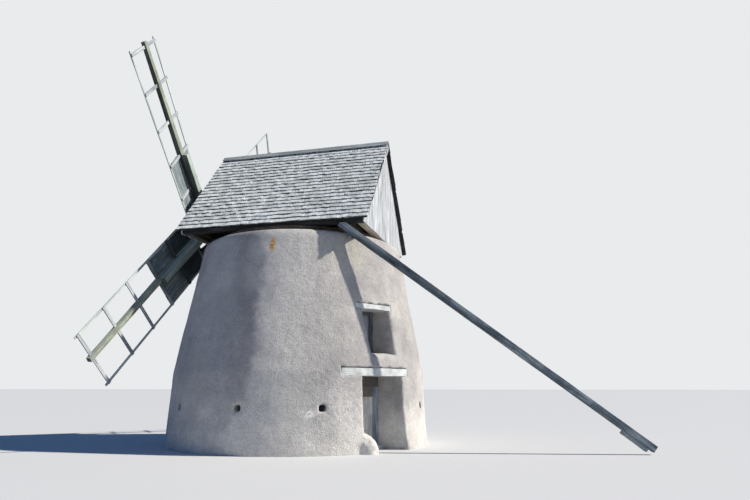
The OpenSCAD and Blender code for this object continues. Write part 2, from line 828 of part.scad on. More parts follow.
module windshaft() {
  head_x0 = stock_front(-plane_step) - head_past;
  head_x1 = stock_front(0) + stock_d + head_past;
  neck_end = neck_x0 + neck_beam_w + neck_r - hub_x;
  color("sienna") at_rotor() difference() {
    union() {
      translate([head_x0, 0, 0]) rotate([rotor_turn, 0, 0]) translate([0, -head_side / 2, -head_side / 2])
        cube([head_x1 - head_x0, head_side, head_side]);
      translate([head_x1 - 1, 0, 0]) rotate([0, 90, 0]) cylinder(r = neck_r, h = neck_end - head_x1, $fn = 64);
      translate([neck_end - 2, 0, 0]) rotate([0, 90, 0])
        cylinder(r1 = neck_r, r2 = shaft_tail_r, h = shaft_end_x - neck_end, $fn = 64);
      translate([shaft_end_x - 10, 0, 0]) rotate([0, 90, 0]) cylinder(r = tail_pin_r, h = tail_beam_w + 240, $fn = 48);
    }
    stock_mortice(rotor_turn, 0);
    stock_mortice(rotor_turn + 90, -plane_step);
  }
}

// Stock through the shaft's head, flat in front where its whips lie
module stock_timber(front) {
  intersection() {
    rotate([90, 0, 0]) translate([0, 0, -stock_w]) linear_extrude(height = 2 * stock_w)
      polygon([
        [front, -stock_reach], [front + stock_end_d, -stock_reach], [front + stock_d, -head_side],
        [front + stock_d, head_side], [front + stock_end_d, stock_reach], [front, stock_reach]
      ]);
    rotate([90, 0, 90]) translate([0, 0, -2 * head_side]) linear_extrude(height = 4 * head_side)
      polygon([
        [-stock_end_w / 2, -stock_reach], [stock_end_w / 2, -stock_reach], [stock_w / 2, -head_side],
        [stock_w / 2, head_side], [stock_end_w / 2, stock_reach], [-stock_end_w / 2, stock_reach],
        [-stock_w / 2, head_side], [-stock_w / 2, -head_side]
      ]);
  }
}

// Stock with the half lap where the other one crosses it, in front or behind
module stock(turn, plane, lap_in_front) {
  lap_start = lap_in_front ? lap_x + face_gap / 2 - head_side : lap_x - face_gap / 2;
  color("gainsboro") at_rotor() rotate([turn, 0, 0]) difference() {
    stock_timber(stock_front(plane));
    translate([lap_start, -head_side / 2, -stock_w / 2 - face_gap])
      cube([head_side, head_side, stock_w + 2 * face_gap]);
  }
}

module stocks() {
  stock(rotor_turn, 0, true);
  stock(rotor_turn + 90, -plane_step, false);
}

// Places children on each sail: Z runs out along the whip, X towards the tower
module each_sail() {
  for (i = [0:3])
    at_rotor() rotate([rotor_turn + 90 * i, 0, 0]) translate([i % 2 == 0 ? 0 : -plane_step, 0, 0]) children();
}

module bar_box(r, extra) {
  translate([0, 0, r]) rotate([0, 0, weather(r)])
    translate([-bar_t / 2 - extra, -wide_side, -bar_w / 2 - extra])
      cube([bar_t + 2 * extra, wide_side + narrow_side, bar_w + 2 * extra]);
}

module whips() {
  color("darkseagreen") each_sail() difference() {
    intersection() {
      translate([0, 0, whip_start_r]) taper_beam(tip_r - whip_start_r, whip_d, whip_d, whip_w, whip_tip_w);
      rotate([90, 0, 0]) translate([0, 0, -whip_w]) linear_extrude(height = 2 * whip_w)
        polygon([
          [-whip_d / 2 + face_gap, 0], [whip_d / 2 - face_gap, 0], [whip_d / 2 - face_gap, stock_reach],
          [whip_tip_w / 2, tip_r], [-whip_tip_w / 2, tip_r], [-whip_d / 2 + face_gap, stock_reach]
        ]);
    }
    for (i = [0:bar_count - 1]) bar_box(first_bar_r + i * bar_step, face_gap);
  }
}

module sail_bars() {
  color("palegreen") each_sail() for (i = [0:bar_count - 1]) bar_box(first_bar_r + i * bar_step, 0);
}

// Flat strip that follows the sail's weather over a list of distances
module twisted_strip(stations, x0, x1, y0, y1) {
  n = len(stations);
  corner = [[x0, y0], [x1, y0], [x1, y1], [x0, y1]];
  pts = [for (s = stations) for (c = corner)
    [c[0] * cos(s[1]) - c[1] * sin(s[1]), c[0] * sin(s[1]) + c[1] * cos(s[1]), s[0]]];
  sides = [for (k = [0:n - 2]) for (j = [0:3])
    [4 * k + j, 4 * (k + 1) + j, 4 * (k + 1) + (j + 1) % 4]];
  sides2 = [for (k = [0:n - 2]) for (j = [0:3])
    [4 * k + j, 4 * (k + 1) + (j + 1) % 4, 4 * k + (j + 1) % 4]];
  polyhedron(points = pts, faces = concat([[0, 1, 2, 3]], sides, sides2,
    [[4 * n - 1, 4 * n - 2, 4 * n - 3, 4 * n - 4]]));
}

// Distances with the weather held level over each bar's width
bar_stations = [for (i = [0:bar_count - 1]) for (e = [-1, 1])
  [first_bar_r + i * bar_step + e * (bar_w / 2 + 5), weather(first_bar_r + i * bar_step)]];

module long_laths() {
  lath_end = [[last_bar_r + lath_past, weather(last_bar_r)]];
  x0 = -bar_t / 2 - face_gap - lath_t;
  color("mediumseagreen") each_sail() {
    twisted_strip(concat(bar_stations, lath_end), x0, x0 + lath_t, -wide_side, -wide_side + lath_w);
    twisted_strip(concat(bar_stations, lath_end), x0, x0 + lath_t, narrow_side - lath_w, narrow_side);
  }
}

// Boards in front of the bars, between the whip and the laths
module sail_boards() {
  stations = [for (i = [0:2 * board_bars - 1]) bar_stations[i]];
  x0 = -bar_t / 2 - face_gap - board_t;
  inner = whip_w / 2 + board_gap;
  edge = lath_w + face_gap;
  color("cadetblue") each_sail() {
    twisted_strip(stations, x0, x0 + board_t, -wide_side + edge, -inner);
    twisted_strip(stations, x0, x0 + board_t, inner, narrow_side - edge);
  }
}

wall_segment_1();
wall_segment_2();
wall_segment_3();
wall_segment_4();
wall_segment_5();
wall_segment_6();
door_left_jamb();
door_right_jamb();
wall_over_door();
window_left_jamb();
window_right_jamb();
wall_over_window();
stone_lintels();
doorway_kerb();
door_threshold();
door_frame();
door_leaf();
door_hinge_pins();
door_straps();
window_frame();
window_shutter();
ground_floor();
upper_floor();
floor_joists();
curb_ring();
side_sills();
end_sills();
neck_beam();
tail_beam();
rafters();
near_roof();
far_roof();
ridge_boards();
verge_boards();
front_gable();
rear_gable();
tail_pole();
pole_shoe();
pole_bolts();
windshaft();
stocks();
whips();
sail_bars();
long_laths();
sail_boards();
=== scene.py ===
# Looks of the tower windmill: lime plaster on rubble, silver-grey shingles, weathered sails.
# Lengths are in metres. The tower's centre on the ground is the origin, Z is up and the
# sails face -X.
import json
import math

import bmesh
import bpy
import numpy as np
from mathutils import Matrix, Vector, noise


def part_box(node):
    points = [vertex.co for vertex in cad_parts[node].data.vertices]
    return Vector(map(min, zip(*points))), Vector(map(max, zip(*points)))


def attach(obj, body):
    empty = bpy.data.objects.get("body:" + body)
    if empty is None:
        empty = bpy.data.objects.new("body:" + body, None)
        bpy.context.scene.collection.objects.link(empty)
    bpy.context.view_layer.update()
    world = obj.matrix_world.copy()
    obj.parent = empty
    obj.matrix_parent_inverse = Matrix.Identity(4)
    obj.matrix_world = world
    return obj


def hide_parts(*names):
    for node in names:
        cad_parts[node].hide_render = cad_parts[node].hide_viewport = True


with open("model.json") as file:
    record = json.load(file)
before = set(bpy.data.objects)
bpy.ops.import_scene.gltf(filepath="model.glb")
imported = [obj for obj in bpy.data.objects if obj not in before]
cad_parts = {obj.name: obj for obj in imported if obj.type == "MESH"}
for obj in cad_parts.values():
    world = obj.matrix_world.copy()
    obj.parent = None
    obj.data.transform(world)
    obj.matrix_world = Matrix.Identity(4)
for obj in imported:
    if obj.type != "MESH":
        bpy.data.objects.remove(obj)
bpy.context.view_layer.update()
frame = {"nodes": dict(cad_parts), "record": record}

SEED = 7
WELD = 0.0002

# Camera and light of the photograph, with angles in degrees, and the floor's half width
CAMERA_PLACE = (6.887, -17.548, 1.6)
CAMERA_UP = 12.70
CAMERA_TURN = 14.6
CAMERA_LENS = 29.19
CAMERA_SENSOR = 36
SUN_TURN = 10.5
SUN_HEIGHT = 43.0
SUN_STRENGTH = 5.3
SUN_ANGLE = 1.6
SUN_COLOUR = (1.0, 0.93, 0.83)
SKY_STRENGTH = 0.27
FLOOR_REACH = 400

# Tower wall
WALL_FOOT_R = 3.740
WALL_BEND_Z = 2.000
WALL_BEND_R = 3.640
SHOULDER_Z = 5.500
SHOULDER_R = 3.012
SHOULDER_START = math.radians(20)
RIM_R = 2.830
RIM_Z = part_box("wall_segment_3")[1].z
ROOM_R = 2.640
ROOM_TOP_R = 2.250
BAY_TURN = math.radians(-32.5)
BAY_COS = math.cos(BAY_TURN)
BAY_SIN = math.sin(BAY_TURN)
BAY_HALF = math.radians(21)
# Thickness of the plaster coat on the reveals and the rim, and its mean and least on the wall's face
COAT = 0.012
COAT_MEAN = 0.018
COAT_LEAST = 0.003
# How far the bay's plaster runs on over the walls beside it and how deep, and how far the coat
# beside the bay does
BAY_LAP = math.radians(1.5)
BAY_LAP_DEPTH = 0.25
COAT_LAP = math.radians(0.4)
# Sampled depth inside and outside the bare wall, and grid step, of the bay and of the plain coat
BAY_GRID = (1.20, 0.38, 0.024)
COAT_GRID = (0.54, 0.09, 0.045)
GRID_SPARE = math.radians(1)
# How widely the edges of doorway, window, lintel beds, kerb and scaffold holes are rounded
DOOR_ROUND = 0.07
WINDOW_ROUND = 0.12
BED_ROUND = 0.02
KERB_ROUND = 0.08
HOLE_ROUND = 0.03

# Door and window in the bay: U runs outwards, V to the right seen from outside
DOOR_HEAD_Z = 1.880
DOOR_SEAT = 0.570
DOOR_ROOM_SIDE = 0.610
DOOR_FRAME_U = 2.810
DOOR_FRAME_D = 0.120
DOOR_MOUTH = 0.730
DOOR_FLARE = 0.200
DOOR_FLARE_Z = 1.1
BELOW_GROUND = -1.0
WINDOW_SILL_Z = 2.460
WINDOW_HEAD_Z = 3.630
WINDOW_SEAT = 0.420
WINDOW_FRAME_U = 2.750
WINDOW_MOUTH = 0.520
WINDOW_MOUTH_U = 3.557
WINDOW_LEAN = 0.200
# The plaster on the sill falls from this U outwards, at this slope
SILL_FALL_U = 3.2
SILL_FALL = 0.10
# Beds of the lintels: reach to the left and right, and height
DOOR_LINTEL = (-1.250, 0.970, 0.190)
WINDOW_LINTEL = (-0.670, 0.560, 0.130)
# Open joint above a lintel, depth of its bed in the wall, how far its face stands out, and
# how deep a skin of it follows the wall
LINTEL_SLOT = 0.028
LINTEL_BED = 0.055
LINTEL_PROUD = 0.014
LINTEL_SKIN = 0.14
KERB_U = 3.540
KERB_V = -0.560
KERB_R = 0.400
KERB_HALF = 0.270
KERB_TOP = 0.500

# Scaffold holes, with the radius of the wall's face at their height
HOLE_Z = 1.100
HOLE_FACE_R = 3.690
HOLE_SIDE = 0.170
HOLE_DEPTH = 0.480
HOLE_TURNS = (-126.6, -92.6, -60.1, -3.5, 26.5, 57, 86, 117, 140, 171, 207)

# Places of the marks on the plaster. The white flake and the orange lichen have their places in
# coordinates stretched by the scales beside them.
KERB_WHITE = (2.78, -2.42, 0.25)
DOORWAY_PALE = (2.35, -2.85, 0.9)
MOSS = (2.05, -2.25, 5.15)
FLAKE = (1.53, -3.36, 1.55)
FLAKE_SCALE = (1.0, 1.0, 1.6)
LICHEN = (0.39, -3.95, 2.21)
LICHEN_SCALE = (1.3, 1.3, 0.42)

# Roof. SLAB_RISE is the share of the slab's thickness in the height of its node.
ROOF_T = 0.070
SLAB_RISE = 0.633
COURSES = 22
SHINGLE_LEN = 0.46
SHINGLE_T = 0.017
SHINGLE_MIDDLE_T = 0.010
SHINGLE_HEAD_T = 0.004
SHINGLE_BED = 0.042
SHINGLE_W = (0.085, 0.155)
SHINGLE_GAPS = (0.003, 0.005, 0.008, 0.014)
FAR_VERGE_X = 2.70
# A course starts up to COURSE_PLAY before the verge, and a last gap under SLIVER stays open
COURSE_START = 0.012
COURSE_PLAY = 0.06
SLIVER = 0.03
# How far butts and ends may stand past the slab
OVERHANG = 0.02
# How much higher and deeper the extra course at the eaves lies than the one over it
EAVES_RISE = 0.012
EAVES_SINK = 0.014
ROOF_BOARD_W = 0.19

# Boards: spare reach of a cut past the edge of a solid, and unevenness of a board's faces
CUT_SPARE = 0.01
BOARD_WOBBLE = 0.0015
# How far the sail boards run on past their innermost bar
BOARD_RUN_ON = 0.11
# Direction of the windshaft, from the sails to its tail
SHAFT_RUN = (math.cos(math.radians(4.2)), 0, -math.sin(math.radians(4.2)))
ALONG_X = (1, 0, 0)
ALONG_Y = (0, 1, 0)
UPRIGHT = (0, 0, 1)

SLOTS = {part["node"]: part["material_slot"] for part in frame["record"]["subparts"]}
BODIES = frame["record"]["behaviour"]["bodies"]
BODY_OF = {node: body for body, nodes in BODIES.items() for node in nodes}
HUB = next(Vector(joint["pos_m"]) for joint in frame["record"]["behaviour"]["joints"]
           if joint["name"] == "sail_turn")


# Shader graphs


def srgb(red, green, blue):
    """A colour given in 0 to 255, as the shader's linear values."""
    def linear(value):
        share = value / 255
        return share / 12.92 if share <= 0.04045 else ((share + 0.055) / 1.055) ** 2.4
    return (linear(red), linear(green), linear(blue))


# Colour of painted shade on timbers, partly damp on their undersides
PAINTED_SHADE = srgb(22, 25, 30)


class Graph:
    """A material's nodes, with short calls for the ones used here."""

    def __init__(self, name):
        self.material = bpy.data.materials.new(name)
        self.material.use_nodes = True
        self.tree = self.material.node_tree
        self.shader = self.tree.nodes["Principled BSDF"]

    def put(self, socket, value):
        if isinstance(value, bpy.types.NodeSocket):
            self.tree.links.new(value, socket)
        elif isinstance(value, tuple) and socket.type == "RGBA":
            socket.default_value = (*value, 1)
        else:
            socket.default_value = value

    def add(self, kind, **inputs):
        node = self.tree.nodes.new(kind)
        for key, value in inputs.items():
            self.put(node.inputs[key.replace("_", " ")], value)
        return node

    def position(self):
        return self.add("ShaderNodeTexCoord").outputs["Object"]

    def attribute(self, name):
        node = self.add("ShaderNodeAttribute")
        node.attribute_name = name
        return node.outputs["Vector"]

    def island(self):
        return self.add("ShaderNodeNewGeometry").outputs["Random Per Island"]

    def part(self, vector, axis):
        return self.add("ShaderNodeSeparateXYZ", Vector=vector).outputs[axis]

    def stretched(self, vector, scale):
        return self.add("ShaderNodeMapping", Vector=vector, Scale=scale).outputs["Vector"]

    def noise(self, vector, scale, detail=4.0, rough=0.55):
        node = self.add("ShaderNodeTexNoise", Vector=vector, Scale=scale, Detail=detail, Roughness=rough)
        return node.outputs["Fac"]

    def cells(self, vector, scale):
        return self.add("ShaderNodeTexVoronoi", Vector=vector, Scale=scale).outputs["Distance"]

    def math(self, operation, *values):
        node = self.add("ShaderNodeMath")
        node.operation = operation
        for socket, value in zip(node.inputs, values):
            self.put(socket, value)
        return node.outputs[0]

    def product(self, first, *others):
        for other in others:
            first = self.math("MULTIPLY", first, other)
        return first

    def total(self, first, *others):
        for other in others:
            first = self.math("ADD", first, other)
        return first

    def band(self, value, low, high, start=0.0, end=1.0):
        """Start below low, end above high, smooth between."""
        node = self.add("ShaderNodeMapRange", Value=value, From_Min=low, From_Max=high,
                        To_Min=start, To_Max=end)
        node.interpolation_type = "SMOOTHSTEP"
        return node.outputs["Result"]

    def spot(self, vector, place, reach, core):
        """One within core of a place, zero beyond reach, smooth between."""
        node = self.add("ShaderNodeVectorMath", Vector=vector)
        node.operation = "DISTANCE"
        node.inputs[1].default_value = place
        return self.band(node.outputs["Value"], reach, core)

    def ramp(self, value, *stops):
        node = self.add("ShaderNodeValToRGB", Fac=value)
        ramp = node.color_ramp
        while len(ramp.elements) < len(stops):
            ramp.elements.new(0.5)
        for element, (place, colour) in zip(ramp.elements, stops):
            element.position = place
            element.color = (*colour, 1)
        return node.outputs["Color"]

    def mix(self, share, a, b):
        node = self.add("ShaderNodeMix")
        node.data_type = "RGBA"
        self.put(node.inputs["Factor"], share)
        for name, value in (("A", a), ("B", b)):
            socket = [s for s in node.inputs if s.name == name and s.type == "RGBA"][0]
            self.put(socket, value)
        return [s for s in node.outputs if s.type == "RGBA"][0]

    def bump(self, height, distance, normal=None):
        node = self.add("ShaderNodeBump", Height=height, Distance=distance, Strength=1.0)
        if normal is not None:
            self.put(node.inputs["Normal"], normal)
        return node.outputs["Normal"]

    def finish(self, colour, roughness, normal):
        self.put(self.shader.inputs["Base Color"], colour)
        self.put(self.shader.inputs["Roughness"], roughness)
        self.put(self.shader.inputs["Normal"], normal)
        self.shader.inputs["Specular IOR Level"].default_value = 0.2
        return self.material


# Plaster material


def painted_wall_light_and_shade(g, place, colour):
    """Painted light and shade on the plaster: a painted cold blue shade on the side of the sails, a painted
    light band beside that where the sun grazes the wall, and a dark band between them that is partly a stain
    and partly painted shade.
    """
    height = g.part(place, "Z")
    wander = g.total(g.product(g.noise(place, 1.6), 0.5), g.product(g.noise(place, 6.5), 0.35), -0.175)
    across = g.total(g.part(place, "X"), wander)
    near = g.band(g.part(place, "Y"), -1.6, -2.6)
    # Painted cold blue shade on the near side towards the sails
    painted_cold_shade = g.product(g.band(across, 0.30, -0.40), near, 0.40)
    colour = g.mix(painted_cold_shade, colour, srgb(156, 164, 176))
    # Painted light: a paler band where the sun grazes the wall
    painted_light_band = g.product(g.band(across, 0.20, 0.50), g.band(across, 2.4, 1.1), near, 0.70)
    colour = g.mix(painted_light_band, colour, srgb(232, 229, 223))
    # A dark band along the edge of the sunlit side, partly a stain and partly painted shade
    bent = g.total(g.band(height, 2.9, 4.7, 0.20, -0.25), g.band(height, 1.6, 2.6, -0.3, 0.0))
    damp_and_shade = g.band(g.math("ABSOLUTE", g.math("SUBTRACT", across, bent)), 0.50, 0.05)
    damp_and_shade = g.product(damp_and_shade, near, g.band(height, 0.7, 2.0, 0.2, 0.42))
    return g.mix(damp_and_shade, colour, srgb(126, 122, 130))


def doorway_shadow_and_whitewash(g, place, grit, colour):
    """A painted shadow at the foot of the door's right reveal, darker towards the ground, and whitewash on
    the kerb.
    """
    x, y = g.part(place, "X"), g.part(place, "Y")
    outward = g.total(g.product(x, BAY_COS), g.product(y, BAY_SIN))
    aside = g.math("SUBTRACT", g.product(y, BAY_COS), g.product(x, BAY_SIN))
    # Painted shadow on the flare at the foot of the right reveal
    edge = g.product(g.band(outward, 3.30, 3.40), g.band(outward, 3.66, 3.56),
                     g.band(g.part(place, "Z"), 1.50, 1.0), g.band(aside, 0.55, 0.62))
    edge = g.product(edge, g.band(aside, 1.05, 0.95, 0.0, 0.7))
    colour = g.mix(edge, colour, srgb(98, 100, 110))
    white = g.product(g.spot(place, KERB_WHITE, 0.60, 0.42), g.band(grit, 0.34, 0.50), 0.8)
    return g.mix(white, colour, srgb(242, 241, 236))


def foot_and_rain(g, place, blotch, grit, colour):
    """A whiter foot and doorway, and grey rain streaks higher up."""
    height = g.part(place, "Z")
    foot = g.product(g.band(height, 2.2, 0.2), g.band(blotch, 0.35, 0.65, 0.35, 1.0))
    colour = g.mix(foot, colour, srgb(234, 231, 225))
    pale = g.product(g.spot(place, DOORWAY_PALE, 1.3, 0.3), g.band(grit, 0.35, 0.6), 0.45)
    colour = g.mix(pale, colour, srgb(232, 231, 228))
    streak = g.noise(g.stretched(place, (2.4, 2.4, 0.16)), 1.0, 4.0, 0.6)
    streak = g.product(g.band(streak, 0.54, 0.72, 0.0, 0.40), g.band(height, 0.8, 3.2))
    return g.mix(streak, colour, srgb(142, 138, 138))


def plaster_grain(g, place, grit, speck, colour):
    """Darker sand, hollows and small stones in the coat."""
    sand = g.noise(place, 42.0, 3.0, 0.7)
    colour = g.mix(g.band(sand, 0.36, 0.58, 0.30, 0.0), colour, srgb(112, 108, 108))
    colour = g.mix(g.band(grit, 0.35, 0.62, 0.16, 0.0), colour, srgb(120, 114, 110))
    return g.mix(g.band(speck, 0.10, 0.30, 0.28, 0.0), colour, srgb(112, 108, 104))


def plaster_marks(g, place, grit, colour):
    """A white flake by the door, orange lichen under the cap and faint moss by the pole."""
    flake = g.spot(g.stretched(place, FLAKE_SCALE), FLAKE, 0.24, 0.06)
    flake = g.product(flake, g.band(g.noise(place, 14.0), 0.47, 0.53))
    colour = g.mix(flake, colour, srgb(246, 245, 240))
    lichen = g.spot(g.stretched(place, LICHEN_SCALE), LICHEN, 0.15, 0.03)
    lichen = g.product(lichen, g.band(g.noise(place, 16.0), 0.40, 0.50))
    colour = g.mix(lichen, colour, srgb(204, 146, 30))
    moss = g.product(g.spot(place, MOSS, 0.85, 0.30), g.band(grit, 0.42, 0.56, 0.0, 0.3))
    return g.mix(moss, colour, srgb(200, 201, 168))


def lime_plaster():
    """Grey-beige lime plaster with its blotches, stains, streaks and relief, and painted light and shade on
    its sides and by the door.
    """
    g = Graph("lime_plaster")
    place = g.position()
    blotch = g.noise(place, 0.9, 5.0, 0.6)
    grit = g.noise(place, 9.0, 6.0, 0.65)
    speck = g.cells(place, 26.0)
    colour = g.ramp(blotch, (0.32, srgb(166, 164, 165)), (0.50, srgb(188, 186, 184)),
                    (0.68, srgb(212, 210, 206)))
    colour = painted_wall_light_and_shade(g, place, colour)
    colour = doorway_shadow_and_whitewash(g, place, grit, colour)
    colour = foot_and_rain(g, place, blotch, grit, colour)
    colour = plaster_grain(g, place, grit, speck, colour)
    colour = plaster_marks(g, place, grit, colour)
    normal = g.bump(g.noise(place, 5.0, 5.0, 0.6), 0.030)
    normal = g.bump(g.noise(place, 26.0, 5.0, 0.7), 0.022, normal)
    normal = g.bump(g.band(speck, 0.0, 0.35), 0.003, normal)
    return g.finish(colour, g.band(grit, 0.3, 0.7, 0.85, 0.97), normal)


# Other materials


def limestone():
    """Nearly white slab with grey lichen spots and split faces."""
    g = Graph("limestone")
    place = g.position()
    cloud = g.noise(place, 3.5, 6.0, 0.65)
    layer = g.noise(g.stretched(place, (3.0, 3.0, 42.0)), 1.0, 5.0)
    colour = g.ramp(cloud, (0.32, srgb(170, 176, 178)), (0.55, srgb(208, 213, 212)),
                    (0.75, srgb(232, 234, 231)))
    colour = g.mix(g.band(layer, 0.56, 0.70, 0.0, 0.35), colour, srgb(160, 160, 155))
    spots = g.band(g.cells(place, 18.0), 0.07, 0.22, 0.45, 0.0)
    colour = g.mix(spots, colour, srgb(128, 130, 126))
    normal = g.bump(layer, 0.012)
    normal = g.bump(g.noise(place, 24.0, 6.0, 0.65), 0.010, normal)
    return g.finish(colour, g.band(cloud, 0.3, 0.7, 0.75, 0.92), normal)


def painted_wood_shade(g, place, broad, colour, under, sunless, above, shaded):
    """Painted shade on a timber: on the faces that look down (partly damp there), on the side of the sails,
    round a place, and a painted shadow colour over a height. See weathered_wood for the values.
    """
    # Painted shade, partly damp, on the faces that look down
    if under:
        facing = g.part(g.add("ShaderNodeTexCoord").outputs["Normal"], "Z")
        damp_and_shade = g.product(g.band(facing, -0.05, -0.40), g.band(broad, 0.30, 0.60, 1.0, 0.85), under)
        colour = g.mix(damp_and_shade, colour, PAINTED_SHADE)
    # A painted shadow colour over a height, as under the door's lintel
    if above:
        height, shadow_colour = above
        share = g.band(g.part(place, "Z"), height - 0.02, height + 0.02, 0.0, 0.85)
        colour = g.mix(share, colour, shadow_colour)
    # Painted shade on the side of the sails
    if sunless:
        colour = g.mix(g.band(g.part(place, "X"), 0.5, -0.5, 0.0, sunless), colour, PAINTED_SHADE)
    # Painted shade round a place
    if shaded:
        middle, reach, share = shaded
        colour = g.mix(g.product(g.spot(place, middle, reach, 0.6 * reach), share), colour, PAINTED_SHADE)
    return colour


def weathered_wood(name, dark, mid, light, tint, tint_share, spread=0.30, grain_bump=0.006, under=0.0,
                   sunless=0.0, above=None, coarse=0.45, shaded=None):
    """Old unpainted wood: silver grain, cracks, a tint of lichen and a tone of its own for each piece.
    spread is how far the darkest piece goes towards dark, and coarse the share of wide bands in
    the grain. under is the share of painted shade, partly damp, on the faces that look down, and
    sunless the share of painted shade on the side of the sails. above is a height and the colour
    of the wood over it, a painted shadow under the door's lintel. shaded is a place, how far round
    it the wood has painted shade, and the share of that shade there."""
    g = Graph(name)
    grain = g.attribute("grain")
    place = g.position()
    fibre = g.noise(g.stretched(grain, (1.6, 34.0, 34.0)), 1.0, 6.0, 0.6)
    broad = g.noise(g.stretched(grain, (0.8, 6.0, 6.0)), 1.0, 4.0)
    both = g.total(g.product(fibre, 1 - coarse), g.product(broad, coarse))
    colour = g.ramp(both, (0.36, dark), (0.50, mid), (0.64, light))
    colour = g.mix(g.band(g.island(), 0.0, 1.0, spread, 0.0), colour, dark)
    growth = g.noise(place, 4.5, 5.0, 0.65)
    colour = g.mix(g.band(growth, 0.44, 0.62, 0.0, tint_share), colour, tint)
    crack = g.noise(g.stretched(grain, (1.1, 60.0, 60.0)), 1.0, 3.0, 0.5)
    crack = g.band(crack, 0.62, 0.70)
    colour = g.mix(g.product(crack, 0.7), colour, tuple(0.25 * part for part in dark))
    colour = painted_wood_shade(g, place, broad, colour, under, sunless, above, shaded)
    normal = g.bump(g.math("SUBTRACT", fibre, crack), grain_bump)
    return g.finish(colour, g.band(fibre, 0.3, 0.7, 0.72, 0.92), normal)


def shingle_wood(exposed):
    """Split shingles: silver above, with painted shade, partly dirt, at the butt and in the crevice where the
    next course covers them, and painted shade on their ends at the far verge.
    """
    g = Graph("shingle_wood")
    grain = g.attribute("grain")
    place = g.position()
    along = g.part(grain, "X")
    fibre = g.noise(g.stretched(grain, (3.0, 60.0, 60.0)), 1.0, 5.0, 0.6)
    colour = g.ramp(fibre, (0.34, srgb(176, 182, 183)), (0.48, srgb(230, 235, 236)),
                    (0.62, srgb(252, 254, 254)))
    colour = g.mix(g.band(g.island(), 0.0, 0.8, 0.50, 0.0), colour, srgb(150, 158, 160))
    growth = g.band(g.noise(place, 1.7, 5.0, 0.6), 0.42, 0.62, 0.0, 0.20)
    colour = g.mix(growth, colour, srgb(170, 180, 164))
    ragged = g.product(g.band(g.noise(place, 3.2, 3.0, 0.7), 0.40, 0.60), 0.03)
    # Painted shade, partly dirt, along the butt and in the crevice under the next course
    butt = g.band(along, 0.010, 0.001, 0.0, 0.6)
    crevice_shade = g.band(g.total(along, ragged), exposed - 0.022, exposed, 0.0, 0.95)
    colour = g.mix(g.math("MAXIMUM", butt, crevice_shade), colour, srgb(36, 38, 40))
    # Painted shade on the shingles' ends at the far verge, under the shaded overhang
    verge = g.product(g.band(g.part(place, "X"), FAR_VERGE_X, FAR_VERGE_X + 0.04),
                      g.band(g.part(place, "Y"), 0.05, 0.15), 0.9)
    colour = g.mix(verge, colour, srgb(40, 44, 48))
    return g.finish(colour, g.band(fibre, 0.3, 0.7, 0.75, 0.92), g.bump(fibre, 0.006))


def wrought_iron():
    """Forged iron with a brown rust skin."""
    g = Graph("wrought_iron")
    scale = g.noise(g.position(), 22.0, 6.0, 0.7)
    colour = g.ramp(scale, (0.35, srgb(46, 40, 38)), (0.52, srgb(84, 60, 46)), (0.68, srgb(120, 82, 56)))
    g.shader.inputs["Metallic"].default_value = 0.35
    return g.finish(colour, g.band(scale, 0.3, 0.7, 0.55, 0.85), g.bump(scale, 0.004))


# Smooth noise for whole arrays of points


class Lattice:
    """Random values on a repeating lattice, with smooth blending between them, from -1 to 1."""

    SIZE = 32

    def __init__(self, seed):
        self.table = np.random.default_rng(seed).random((self.SIZE,) * 3) * 2 - 1

    def at(self, points, scale):
        spot = points * scale
        low = np.floor(spot).astype(int)
        part = spot - low
        part = part * part * (3 - 2 * part)
        total = 0
        for i in (0, 1):
            for j in (0, 1):
                for k in (0, 1):
                    corner = (low + (i, j, k)) % self.SIZE
                    weight = 1
                    for axis, side in enumerate((i, j, k)):
                        weight = weight * (part[..., axis] if side else 1 - part[..., axis])
                    total = total + weight * self.table[corner[..., 0], corner[..., 1], corner[..., 2]]
        return total


LATTICE = Lattice(SEED)


# Surface through the zero level of a sampled field


def shifted(field, axis, i, j):
    """The field at the two ends of every grid edge along axis, for the cell corner (i, j) beside it."""
    ends = []
    for end in (0, 1):
        steps = [i, j]
        steps.insert(axis, end)
        ends.append(field[tuple(slice(step, size - 1 + step) for step, size in zip(steps, field.shape))])
    return ends


def surface_points(field):
    """One vertex for each cell that the surface crosses, in grid steps, and the vertex's number."""
    total = np.zeros(tuple(size - 1 for size in field.shape) + (3,))
    count = np.zeros(total.shape[:3])
    for axis in range(3):
        for i in (0, 1):
            for j in (0, 1):
                low, high = shifted(field, axis, i, j)
                crossed = (low < 0) != (high < 0)
                share = np.where(crossed, low / np.where(crossed, low - high, 1), 0)
                steps = [i, j]
                steps.insert(axis, 0)
                for other in range(3):
                    value = share if other == axis else steps[other]
                    total[..., other] += np.where(crossed, value, 0)
                count += crossed
    used = count > 0
    number = np.full(used.shape, -1)
    number[used] = np.arange(used.sum())
    return np.argwhere(used) + total[used] / count[used][:, None], number


def surface_quads(field, number, axis):
    """Quads across the grid edges along axis where the field changes sign, inside negative."""
    first, second = [(1, 2), (2, 0), (0, 1)][axis]
    core = [slice(1, -1)] * 3
    core[axis] = slice(0, -1)
    low = field[tuple(core)] < 0
    core[axis] = slice(1, None)
    high = field[tuple(core)] < 0
    offset = np.ones(3, int)
    offset[axis] = 0
    edges = np.argwhere(low != high) + offset
    ring = []
    for a, b in ((-1, -1), (0, -1), (0, 0), (-1, 0)):
        cell = edges.copy()
        cell[:, first] += a
        cell[:, second] += b
        ring.append(number[cell[:, 0], cell[:, 1], cell[:, 2]])
    ring = np.stack(ring, axis=1)
    leaving = low[low != high]
    ring[~leaving] = ring[~leaving][:, ::-1]
    return ring


# Plaster


def smooth_max(a, b, width):
    near = np.maximum(width - np.abs(a - b), 0) / width
    return np.maximum(a, b) + near * near * width / 4


def smooth_min(a, b, width):
    return -smooth_max(-a, -b, width)


